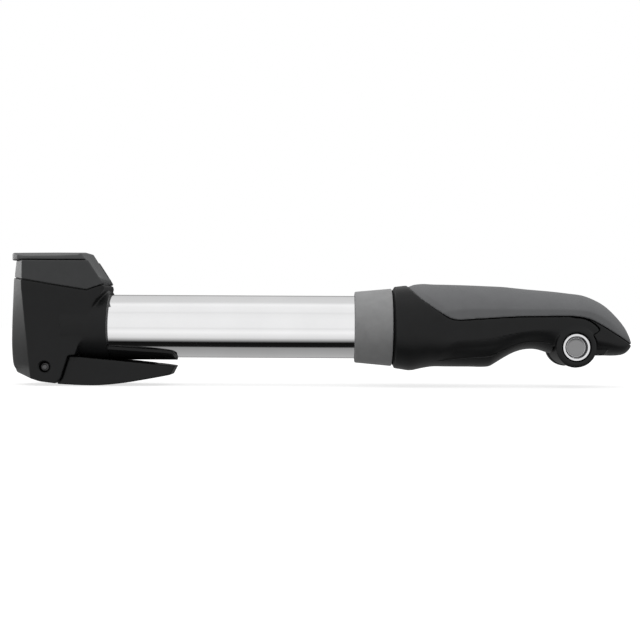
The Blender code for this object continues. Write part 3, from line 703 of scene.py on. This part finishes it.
def cam_outline():
    """The lever's cam, whose reach rises evenly with the lever's travel."""
    reach, rise, points = 6.5, 1.14, []
    for i in range(25):
        travel = math.radians(90) * i / 24
        angle = math.radians(90) + travel
        length = reach + rise * travel
        points.append((
            LEVER_PIVOT.x + length * math.cos(angle) - rise * math.sin(angle),
            LEVER_PIVOT.z + length * math.sin(angle) + rise * math.cos(angle),
        ))
    pin = (LEVER_PIVOT.x, LEVER_PIVOT.z)
    return points + arc(pin, reach - 0.6, 215, 300, 8) + [(23.0, -18.0), (21.0, -13.6)]


def build_lever_pin():
    """The pin's two domed ends sit below the head's flanks; its steel is painted near black, as painted shade
    in their recesses.
    """
    end, r = 13.5, 2.2
    half = [(end - 0.5, r), (end - 0.1, r - 0.45), (end + 0.1, 1.3), (end - 0.25, 0.9), (end - 0.35, 0)]
    profile = [(-y, radius) for y, radius in reversed(half)] + half
    return turned_piece("lever_pivot_pin", profile, "barrel", "plated_steel", finish("painted_shade_pin_steel"), "lever_pin",
                        steps=64, **LEVER_AXIS)


def build_valve_parts():
    ease = sizes().edge_ease / MM
    seal = [(12.3, 2.9), (12.3, 6.9), (26.1, 6.9), (26.1, 5.0), (24.6, 4.25), (14.0, 4.2)]
    turned_piece("valve_grommet", eased(seal, ease), "barrel", "black_rubber", finish("seal_rubber"),
                 "valve_seal", **VALVE_AXIS)
    plug = [(27.25, 0), (27.25, 3.9), (28.9, 4.2), (28.9, 0)]
    turned_piece("lid_plug", eased(plug, ease), "cover", "black_rubber", finish("seal_rubber"),
                 "cover_plug", **VALVE_AXIS)
    pin = [(-11.9, 0), (-11.9, 0.8), (11.9, 0.8), (11.9, 0)]
    turned_piece("lid_pin", eased(pin, 0.25), "barrel", "plated_steel", finish("bright_steel"),
                 "cover_pin", steps=32, **COVER_AXIS)


# ---- Barrel, collar and inner stage ------------------------------------------------------------


def build_barrel():
    ease = sizes().edge_ease / MM
    r = sizes().barrel_radius / MM
    profile = [(BARREL_LOW.x, r - 1.2), (BARREL_LOW.x, r), (BARREL_HIGH.x, r), (BARREL_HIGH.x, r - 1.2)]
    return turned_piece("polished_barrel", eased(profile, ease), "barrel", "polished_aluminium",
                        finish("polished_tube"), "outer_barrel", steps=256)


def build_collar():
    """A conical sleeve closed by an inward lip, with softly rounded rims."""
    start, end, seat = COLLAR_LOW.x, COLLAR_HIGH.x, 14.3
    small, large = 15.9, sizes().collar_end_radius / MM
    profile = [(start, seat), (start, small), (end, large), (end, 11.5), (end - 1.8, 11.5), (end - 1.8, seat)]
    return turned_piece("collar_sleeve", eased(profile, 0.55, 4), "barrel", "grey_satin_plastic",
                        finish("collar_grey"), "collar", steps=256)


def build_inner_stage():
    """The thinner barrel that slides out of the first one, its end cap, and the rod inside it."""
    ease = sizes().edge_ease / MM
    low, high = node_mm("inner_barrel")
    tube_profile = [(low.x, 9.8), (low.x, 11.0), (high.x, 11.0), (high.x, 9.8)]
    turned_piece("inner_tube", eased(tube_profile, ease), "inner_stage", "satin_aluminium",
                 finish("satin_tube"), "inner_barrel", steps=192)

    low, high = node_mm("inner_cap")
    cap_profile = [(low.x, 11.3), (low.x, 12.6), (low.x + 1.2, 13.2), (high.x, 13.2), (high.x, 6.3),
                   (178.3, 6.3), (178.3, 11.3)]
    cap = turned("inner_tube_cap", eased(cap_profile, 0.45), steps=192)
    for i in range(3):
        cut(cap, tube("groove", low.x + 2.4 + i * 1.3, low.x + 3.0 + i * 1.3, 12.95, 14.0, steps=192))
    smooth_by_angle(cap)
    finish_piece(cap, "inner_stage", "nylon", finish("cap_nylon"), "inner_cap")

    low, high = node_mm("piston_rod")
    profile = [(low.x, 4.8), (low.x, 6.0), (high.x, 6.0), (high.x, 2.3), (182.0, 2.3), (182.0, 4.8)]
    turned_piece("pump_rod", eased(profile, ease), "handle", "satin_aluminium", finish("satin_tube"),
                 "piston_rod")


# ---- Handle ------------------------------------------------------------------------------------

# Outer form. Each station: x, top, bottom, half width, upper crease, lower crease.
HANDLE_STATIONS = [
    (171.7, 18.2, -18.3, 18.2, 0.0, 0.0),
    (175.0, 18.6, -18.8, 18.7, 0.0, 0.0),
    (179.0, 19.0, -19.3, 19.0, 0.4, -0.4),
    (184.5, 19.6, -18.2, 18.2, 2.6, -2.0),
    (189.0, 19.4, -17.5, 17.0, 5.0, -4.0),
    (195.0, 19.3, -17.5, 15.7, 7.2, -5.6),
    (205.0, 19.05, -17.5, 14.5, 8.2, -5.2),
    (214.2, 18.7, -17.4, 14.1, 8.2, -4.2),
    (217.0, 18.6, -15.9, 14.0, 8.2, -3.8),
    (221.0, 18.4, -13.4, 13.9, 8.2, -2.8),
    (226.0, 17.9, -10.8, 13.8, 8.2, -1.6),
    (231.0, 17.4, -9.5, 13.8, 8.2, -0.9),
    (236.0, 17.0, -9.6, 13.8, 8.2, -0.7),
    (243.0, 16.4, -11.6, 13.8, 8.2, -0.5),
    (250.0, 15.6, -12.2, 13.8, 8.1, -1.5),
    (256.0, 14.8, -12.2, 13.4, 7.6, -3.5),
    (261.0, 13.0, -12.2, 12.6, 6.0, -5.0),
    (266.0, 10.2, -12.2, 11.3, 3.0, -6.0),
    (271.0, 5.6, -12.2, 9.3, -1.5, -7.0),
    (275.0, 0.7, -11.5, 6.8, -4.5, -7.4),
    (277.3, -3.6, -9.6, 4.0, -6.2, -7.6),
    (278.1, -5.6, -8.4, 2.2, -6.8, -7.4),
]
# Where the grey cover meets the black neck, from the top left to the tip
PARTING = through([
    (177.0, 20.0), (178.8, 17.0), (182.6, 13.0), (186.8, 9.8), (191.2, 6.7), (194.6, 4.6), (197.2, 3.7),
    (200.5, 3.4), (208.7, 3.95), (217.5, 4.5), (226.3, 5.0), (235.0, 5.2), (248.2, 5.3), (252.6, 5.0),
    (257.0, 4.1), (261.4, 2.1), (265.7, -0.3), (270.1, -2.8), (279.5, -8.2),
], 4)
RING_SPACING, RING_QUARTER = 1.1, 16  # between the handle's rings, and points in a quarter of one
EAR_R, EAR_TOP_R = 9.0, 13.0
CHANNEL_START, CHANNEL_FLOOR, CHANNEL_HALF = 194.6, -3.6, 9.6
BAND_WIDTH, BAND_FALL = 2.9, 0.26  # of the cover's front edge


def smooth_value(rows, x, column):
    """A column of a station table at x, by a Catmull-Rom curve through the rows."""
    last = len(rows) - 1
    i = max(0, min(last - 1, sum(row[0] <= x for row in rows) - 1))
    x0, x1 = rows[i][0], rows[i + 1][0]
    y0, y1 = rows[i][column], rows[i + 1][column]
    before, after = rows[max(0, i - 1)], rows[min(last, i + 2)]
    slope0 = (y1 - before[column]) / (x1 - before[0])
    slope1 = (after[column] - y0) / (after[0] - x0)
    t = (x - x0) / (x1 - x0)
    return (
        (2 * t**3 - 3 * t**2 + 1) * y0
        + (t**3 - 2 * t**2 + t) * (x1 - x0) * slope0
        + (3 * t**2 - 2 * t**3) * y1
        + (t**3 - t**2) * (x1 - x0) * slope1
    )


def ramp(value, start, end):
    """0 up to start, 1 from end on, easing between."""
    t = max(0.0, min(1.0, (value - start) / (end - start)))
    return t * t * (3 - 2 * t)


def handle_ring(x, inset):
    """One cross-section of the handle: domed top, straight sides, rounded bottom.

    The dome and the belly start with a lean, so a crease runs along each side of the handle.
    """
    top, bottom, half, upper, lower = (smooth_value(HANDLE_STATIONS, x, c) for c in range(1, 6))
    top, bottom, half = top - inset, bottom + inset, half - inset
    lower = min(lower, upper - 0.6)
    lean_up = math.radians(19) * ramp(x, 180, 196) * (1 - ramp(x, 262, 276))
    lean_down = math.radians(15) * ramp(x, 182, 200) * (1 - ramp(x, 262, 276))
    side = []
    for crease, end, lean, order in ((lower, bottom, lean_down, 1), (upper, top, lean_up, 0)):
        points = []
        for i in range(RING_QUARTER + 1):
            angle = lean + (math.pi / 2 - lean) * i / RING_QUARTER
            y = half * math.cos(angle) / math.cos(lean)
            z = crease + (end - crease) * (math.sin(angle) - math.sin(lean)) / (1 - math.sin(lean))
            points.append((y, z))
        side += reversed(points) if order else points
    return [Vector((x, y, z)) for y, z in side] + [Vector((x, -y, z)) for y, z in reversed(side[1:-1])]


def handle_form(name, inset=0.0, reach=(0, 999)):
    """The handle's outer form between two places, drawn in by inset."""
    start, end = max(reach[0], HANDLE_STATIONS[0][0]), min(reach[1], HANDLE_STATIONS[-1][0])
    count = max(2, round((end - start) / RING_SPACING))
    return loft(name, [handle_ring(start + (end - start) * i / count, inset) for i in range(count + 1)])


def ear_edge(offset):
    """The right edge of the neck's ears: an arc that the grip swings past, then the round end."""
    pin = (GRIP_PIVOT.x, GRIP_PIVOT.z)
    return arc(pin, EAR_TOP_R + offset, 90, 35, 14) + arc(pin, EAR_R + offset, 35, -90, 28)


def neck_outline(offset):
    """Everything below the parting line and left of the ears' edge, moved out by offset."""
    line = [point for point in offset_line(PARTING, offset) if point[0] < GRIP_PIVOT.x - 2]
    left, top = 160.0, line[0][1] + 3
    return [(left, -40.0), (left, top), (line[0][0] - 2, top)] + line + (
        ear_edge(offset) + [(GRIP_PIVOT.x, -40.0)])


def above_parting(offset):
    """Everything above the parting line, moved up by offset."""
    line = offset_line(PARTING, offset)
    left, right = line[0][0] - 2, line[-1][0] + 5
    return [(left, 45.0), (left, line[0][1] + 3)] + line + [(right, line[-1][1] - 3), (right, 45.0)]


def build_neck():
    neck = handle_form("handle_yoke")
    join(neck, rod("ear round", -13.95, 13.95, EAR_R, **GRIP_AXIS), solver="MANIFOLD")
    common(neck, prism("neck mask", neck_outline(-GAP / 2), -ACROSS, ACROSS), solver="MANIFOLD")
    boss = [(-14.4, 0), (-14.4, 7.7), (-14.0, 8.2), (14.0, 8.2), (14.4, 7.7), (14.4, 0)]
    join(neck, turned("boss", boss, **GRIP_AXIS), tube("lip", 170.9, 172.6, 13.6, 16.9), solver="MANIFOLD")
    floor_end = GRIP_PIVOT.x - EAR_R - 0.2
    channel = [
        (CHANNEL_START, 40), (CHANNEL_START, CHANNEL_FLOOR), (floor_end, CHANNEL_FLOOR),
        (floor_end, -40), (300, -40), (300, 40),
    ]
    recess = 11.8
    cut(
        neck,
        prism("rib channel", channel, -CHANNEL_HALF, CHANNEL_HALF),
        rod("cap cavity", 150, 182.0, 14.0, steps=128),
        rod("rod socket", 150, 192.0, 6.25),
        rod("screw hole", 150, 200, 2.35, steps=48),
        rod("screw head room", CHANNEL_START + 0.1, CHANNEL_START + 4, 4.2),
        rod("pin bore", -30, 30, 4.25, **GRIP_AXIS),
        rod("front recess", -30, -recess, 6.45, **GRIP_AXIS),
        rod("back recess", recess, 30, 6.45, **GRIP_AXIS),
        solver="MANIFOLD",
    )
    mould(neck, rounds=4, voxel_scale=1.1)
    crease = through([(187.5, -17.5), (190.0, -14.5), (193.5, -9.6), (198.7, -5.9), (205.0, -5.2),
                      (213.0, -4.6), (226.0, -2.1), (235.0, -1.0), (243.0, -0.9)], 5)
    for vertex in neck.data.vertices:
        x, y, z = vertex.co / MM
        if not crease[0][0] < x < crease[-1][0] or abs(y) < 10:
            continue
        below = min((Vector((x, z)) - Vector(point)).length for point in crease)
        k = next(i for i, point in enumerate(crease) if point[0] >= x)
        a, b = Vector(crease[k - 1]), Vector(crease[k])
        if z > a.y + (b.y - a.y) * (x - a.x) / (b.x - a.x):
            continue
        drop = min(below, 3.5) * 0.16 * ramp(x, 187.5, 192.0) * (1 - ramp(x, 237, 243))
        vertex.co.y -= math.copysign(drop, y) * MM
    return finish_piece(neck, "handle", "black_plastic", finish("shell_black"), "handle_neck")


def build_rivet():
    """The grip's pivot: a tube with a bright rolled rim at each end, around a dished steel core whose steel
    is painted darker, as painted shade in the dish.
    """
    half = [(12.1, 4.0), (12.1, 6.1), (13.2, 6.1), (13.65, 5.85), (13.75, 5.45), (13.6, 5.0), (13.0, 4.75),
            (11.0, 4.7), (11.0, 3.6)]
    profile = [(-y, r) for y, r in reversed(half)] + half
    turned_piece("grip_rivet", profile, "handle", "plated_steel", finish("bright_steel"), "grip_pin",
                 degrees=40, steps=160, **GRIP_AXIS)
    # the dish takes the steel painted darker: painted shade in the recess
    dish = [(12.9, 4.6), (12.3, 4.35), (11.7, 3.6), (11.45, 2.4), (11.35, 1.2), (11.3, 0)]
    profile = [(-y, r) for y, r in dish[::-1]] + [(-10.9, 3.4), (10.9, 3.4)] + dish
    return turned_piece("rivet_core", profile, "handle", "plated_steel", finish("painted_shade_dish_steel"),
                        degrees=60, **GRIP_AXIS)


def diagonal_distance(x, z):
    """How far a point lies from the cover's slanting front edge."""
    place = Vector((x, z))
    nearest = 99.0
    for a, b in zip(PARTING[:22], PARTING[1:23]):
        a, b = Vector(a), Vector(b)
        t = max(0.0, min(1.0, (place - a).dot(b - a) / (b - a).length_squared))
        nearest = min(nearest, (place - a - (b - a) * t).length)
    return nearest


def build_cover():
    """The grey cover; a narrow band along its slanting front edge falls away a little."""
    cover = handle_form("grip_shell")
    common(cover, prism("cover mask", above_parting(GAP / 2), -ACROSS, ACROSS))
    cut(cover, handle_form("cover hollow", 2.6, (196.0, 266.0)))
    mould(cover, rounds=3, keep=0.55)
    for vertex in cover.data.vertices:
        x, y, z = vertex.co / MM
        if x > 199:
            continue
        distance = diagonal_distance(x, z)
        drop = max(0.0, BAND_WIDTH - distance) * BAND_FALL * (1 - ramp(x, 189, 196))
        if drop > 0:
            radial = Vector((0, y, z))
            outer = min(1.0, radial.length / 15)
            vertex.co -= radial.normalized() * drop * outer * MM
    return finish_piece(cover, "grip", "grey_soft_touch", finish("soft_grey"), "grip_cover")


def build_grip_frame():
    frame_piece = handle_form("grip_core", 2.9, (204.0, 262.0))
    common(frame_piece, prism("spine mask", above_parting(GAP / 2), -ACROSS, ACROSS))
    tail = handle_form("tail form")
    common(tail, prism("tail side", [(245.0, 30), (245.0, -30), (290, -30), (290, 30)], -ACROSS, ACROSS))
    cut(tail, prism("tail top", above_parting(-GAP / 2), -ACROSS, ACROSS))
    cut(tail, prism("ear sweep", neck_outline(GAP), -ACROSS, ACROSS))
    core = 9.2
    floor, start = CHANNEL_FLOOR + GAP, 196.7
    rib = [(start, 6.5), (start, floor), (245.0, floor), (249.0, -8.0), (256.0, -12.0), (264.0, -12.0),
           (267.0, -8.0), (262.0, 0.0), (252.0, 6.5)]
    join(
        frame_piece,
        tail,
        prism("rib", rib, -core, core),
        rod("hub", -core - 0.1, core + 0.1, 8.6, **GRIP_AXIS),
    )
    cut(frame_piece, rod("hub bore", -30, 30, 4.3, **GRIP_AXIS))
    mould(frame_piece, rounds=4, voxel_scale=1.05)
    return finish_piece(frame_piece, "grip", "black_plastic", finish("shell_black"), "grip_frame")


def finish_inner_parts():
    """Gives the small inner parts, shown as they are packed, their materials."""
    looks = {
        "barrel_gasket": "seal_rubber", "check_valve_disc": "seal_rubber", "barrel_wiper": "seal_rubber",
        "plunger_seal": "seal_rubber", "inner_piston_seal": "seal_rubber", "piston_seal": "seal_rubber",
        "guide_bush": "bush_nylon", "clamp_plunger": "bush_nylon", "inner_piston": "bush_nylon",
        "rod_bush": "bush_nylon", "piston": "bush_nylon", "neck_screw": "bright_steel",
    }
    for node, look in looks.items():
        part = frame["nodes"][node]
        part.data.materials.clear()
        part.data.materials.append(finish(look))


# ---- Studio ------------------------------------------------------------------------------------

# What shiny surfaces reflect, by angle in the YZ plane: 0 is the front, 90 above, 180 behind, -90 below
SURROUND = [
    (-180, 0.12), (-165, 0.20), (-150, 0.46), (-136, 0.45), (-100, 0.36), (-84, 0.30),
    (-80, 0.01), (-60, 0.005), (-50, 0.45), (-42, 0.78), (-21, 1.00), (-12, 0.93), (-7, 0.85),
    (-2, 0.93), (25, 0.94), (45, 0.91), (52, 0.85), (58, 0.92), (75, 0.94), (89, 1.00),
    (96, 0.86), (103, 0.74), (141, 0.69), (152, 0.60), (166, 0.20), (180, 0.12),
]
SOFT_LIGHT = 0.62  # what matt surfaces gather from the sides
SOFT_LIGHT_ABOVE = 0.48  # and how much more from above, and less from below


class WorldNodes:
    """Short ways to add and link the nodes of the studio's surroundings."""

    def __init__(self, world):
        world.use_nodes = True
        self.nodes = world.node_tree.nodes
        self.links = world.node_tree.links

    def math(self, operation, first, second):
        node = self.nodes.new("ShaderNodeMath")
        node.operation = operation
        for socket, value in zip(node.inputs, (first, second)):
            if isinstance(value, (int, float)):
                socket.default_value = value
            else:
                self.links.new(value, socket)
        return node.outputs["Value"]

    def mix(self, factor, first, second):
        node = self.nodes.new("ShaderNodeMix")
        node.data_type = "FLOAT"
        for key, value in (("Factor", factor), ("A", first), ("B", second)):
            if isinstance(value, (int, float)):
                node.inputs[key].default_value = value
            else:
                self.links.new(value, node.inputs[key])
        return node.outputs["Result"]


def build_world():
    """Surroundings: white to look at, banded where mirrored, brighter above for matt surfaces."""
    world = bpy.data.worlds.new("studio")
    bpy.context.scene.world = world
    maker = WorldNodes(world)
    parts = maker.nodes.new("ShaderNodeSeparateXYZ")
    maker.links.new(maker.nodes.new("ShaderNodeTexCoord").outputs["Generated"], parts.inputs["Vector"])
    up = parts.outputs["Z"]
    forward = maker.math("MULTIPLY", parts.outputs["Y"], -1)
    angle = maker.math("ARCTAN2", up, forward)
    turn = maker.math("ADD", maker.math("DIVIDE", angle, math.tau), 0.5)
    bands = maker.nodes.new("ShaderNodeValToRGB")
    for i, (degrees, value) in enumerate(SURROUND):
        place = (degrees + 180) / 360
        stop = bands.color_ramp.elements[i] if i < 2 else bands.color_ramp.elements.new(place)
        stop.position = place
        stop.color = (value, value, value, 1)
    maker.links.new(turn, bands.inputs["Fac"])
    soft = maker.math("ADD", maker.math("MULTIPLY", up, SOFT_LIGHT_ABOVE), SOFT_LIGHT)
    soft = maker.math("MAXIMUM", soft, 0.03)
    ray = maker.nodes.new("ShaderNodeLightPath")
    mirrored = maker.mix(ray.outputs["Is Glossy Ray"], soft, bands.outputs["Color"])
    seen = maker.mix(ray.outputs["Is Camera Ray"], mirrored, 1.0)
    maker.links.new(seen, maker.nodes["Background"].inputs["Color"])


def area_light(name, place, target, size, power):
    data = bpy.data.lights.new(name, "AREA")
    data.shape = "RECTANGLE"
    data.size, data.size_y = size
    data.energy = power
    light = bpy.data.objects.new(name, data)
    light.location = place
    light.rotation_euler = (Vector(target) - Vector(place)).to_track_quat("-Z", "Y").to_euler()
    bpy.context.scene.collection.objects.link(light)
    return light


def build_floor():
    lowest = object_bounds()[0][2] - sizes().floor_drop
    bm = bmesh.new()
    bmesh.ops.create_grid(bm, x_segments=1, y_segments=1, size=3.0)
    bmesh.ops.translate(bm, vec=(0.14, 0, lowest), verts=bm.verts)
    mesh = bpy.data.meshes.new("floor")
    bm.to_mesh(mesh)
    bm.free()
    floor = bpy.data.objects.new("floor", mesh)
    bpy.context.scene.collection.objects.link(floor)
    chain = NodeChain("pale_floor")
    chain.set(Base_Color=(0.4, 0.4, 0.4, 1), Roughness=0.9, Specular_IOR_Level=0.0,
              Emission_Color=(1, 1, 1, 1), Emission_Strength=0.7)
    mesh.materials.append(chain.material)
    floor.visible_glossy = False
    floor.visible_diffuse = False
    floor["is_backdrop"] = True


def build_camera():
    data = bpy.data.cameras.new("camera")
    data.lens = 65.75
    data.sensor_width = 36.0
    data.clip_start = 0.01
    camera = bpy.data.objects.new("camera", data)
    bpy.context.scene.collection.objects.link(camera)
    upright = Matrix.Rotation(math.radians(90), 4, "X")
    roll = Matrix.Rotation(math.radians(0.29), 4, "Z")
    camera.matrix_world = Matrix.Translation((0.1386, -0.526, 0.00315)) @ upright @ roll
    bpy.context.scene.camera = camera


def build_stage():
    bpy.context.scene.view_settings.view_transform = "Standard"
    build_world()
    middle = (0.14, 0, 0)
    top = area_light("top_softbox", (0.10, -0.15, 0.75), middle, (0.9, 0.5), 1.5)
    top.visible_glossy = False
    area_light("left_softbox", (-0.32, 0.22, 0.03), (0.005, 0, 0.005), (0.30, 0.38), 0.62)
    build_floor()
    build_camera()


# ---- Operators ---------------------------------------------------------------------------------


class PieceOperator:
    """Runs the functions that build one group of pieces."""

    def execute(self, context):
        for step in self.steps:
            step()
        return {"FINISHED"}


class PUMP_OT_head(PieceOperator, bpy.types.Operator):
    """Build the pump head, its saddle tongue, valve parts and top cap"""

    bl_idname = "mini_pump.head"
    bl_label = "Pump Head"
    steps = (build_head_body, build_tongue, build_cap_gasket, build_head_cap, build_valve_parts)


class PUMP_OT_dust_cover(PieceOperator, bpy.types.Operator):
    """Build the hinged dust cover on the head"""

    bl_idname = "mini_pump.dust_cover"
    bl_label = "Dust Cover"
    steps = (build_dust_cover,)


class PUMP_OT_lever(PieceOperator, bpy.types.Operator):
    """Build the clamp lever and its pivot pin"""

    bl_idname = "mini_pump.lever"
    bl_label = "Clamp Lever"
    steps = (build_lever, build_lever_pin)


class PUMP_OT_barrel(PieceOperator, bpy.types.Operator):
    """Build the polished barrel"""

    bl_idname = "mini_pump.barrel"
    bl_label = "Barrel"
    steps = (build_barrel,)


class PUMP_OT_collar(PieceOperator, bpy.types.Operator):
    """Build the grey collar at the barrel's end"""

    bl_idname = "mini_pump.collar"
    bl_label = "Collar"
    steps = (build_collar,)


class PUMP_OT_inner_stage(PieceOperator, bpy.types.Operator):
    """Build the inner barrel, its cap and the rod"""

    bl_idname = "mini_pump.inner_stage"
    bl_label = "Inner Stage"
    steps = (build_inner_stage,)


class PUMP_OT_neck(PieceOperator, bpy.types.Operator):
    """Build the handle's neck and the rivet of the folding grip"""

    bl_idname = "mini_pump.neck"
    bl_label = "Handle Neck"
    steps = (build_neck, build_rivet)


class PUMP_OT_grip(PieceOperator, bpy.types.Operator):
    """Build the folding grip: its black frame and grey cover"""

    bl_idname = "mini_pump.grip"
    bl_label = "Folding Grip"
    steps = (build_grip_frame, build_cover)


class PUMP_OT_inner_parts(PieceOperator, bpy.types.Operator):
    """Give the inner parts their materials"""

    bl_idname = "mini_pump.inner_parts"
    bl_label = "Inner Parts"
    steps = (finish_inner_parts,)


class PUMP_OT_stage(PieceOperator, bpy.types.Operator):
    """Build the floor, the studio light and the camera"""

    bl_idname = "mini_pump.stage"
    bl_label = "Studio Stage"
    steps = (build_stage,)


OPERATORS = (
    PUMP_OT_head, PUMP_OT_dust_cover, PUMP_OT_lever, PUMP_OT_barrel, PUMP_OT_collar,
    PUMP_OT_inner_stage, PUMP_OT_neck, PUMP_OT_grip, PUMP_OT_inner_parts, PUMP_OT_stage,
)


class PUMP_PT_panel(bpy.types.Panel):
    """Sizes, colours and pieces of the mini pump"""

    bl_label = "Mini Pump"
    bl_idname = "PUMP_PT_panel"
    bl_space_type = "VIEW_3D"
    bl_region_type = "UI"
    bl_category = "Mini Pump"

    def draw(self, context):
        layout = self.layout
        for group in (context.scene.pump_sizes, context.scene.pump_colours):
            column = layout.column(align=True)
            for name in group.__annotations__:
                column.prop(group, name)
        column = layout.column(align=True)
        for operator in OPERATORS:
            column.operator(operator.bl_idname)


CLASSES = (PumpSizes, PumpColours, *OPERATORS, PUMP_PT_panel)


def register():
    for cls in CLASSES:
        bpy.utils.register_class(cls)
    bpy.types.Scene.pump_sizes = bpy.props.PointerProperty(type=PumpSizes)
    bpy.types.Scene.pump_colours = bpy.props.PointerProperty(type=PumpColours)


def unregister():
    del bpy.types.Scene.pump_colours
    del bpy.types.Scene.pump_sizes
    for cls in reversed(CLASSES):
        bpy.utils.unregister_class(cls)


def main():
    register()
    for operator in OPERATORS:
        group, name = operator.bl_idname.split(".")
        getattr(getattr(bpy.ops, group), name)()


if __name__ == "__main__":
    main()
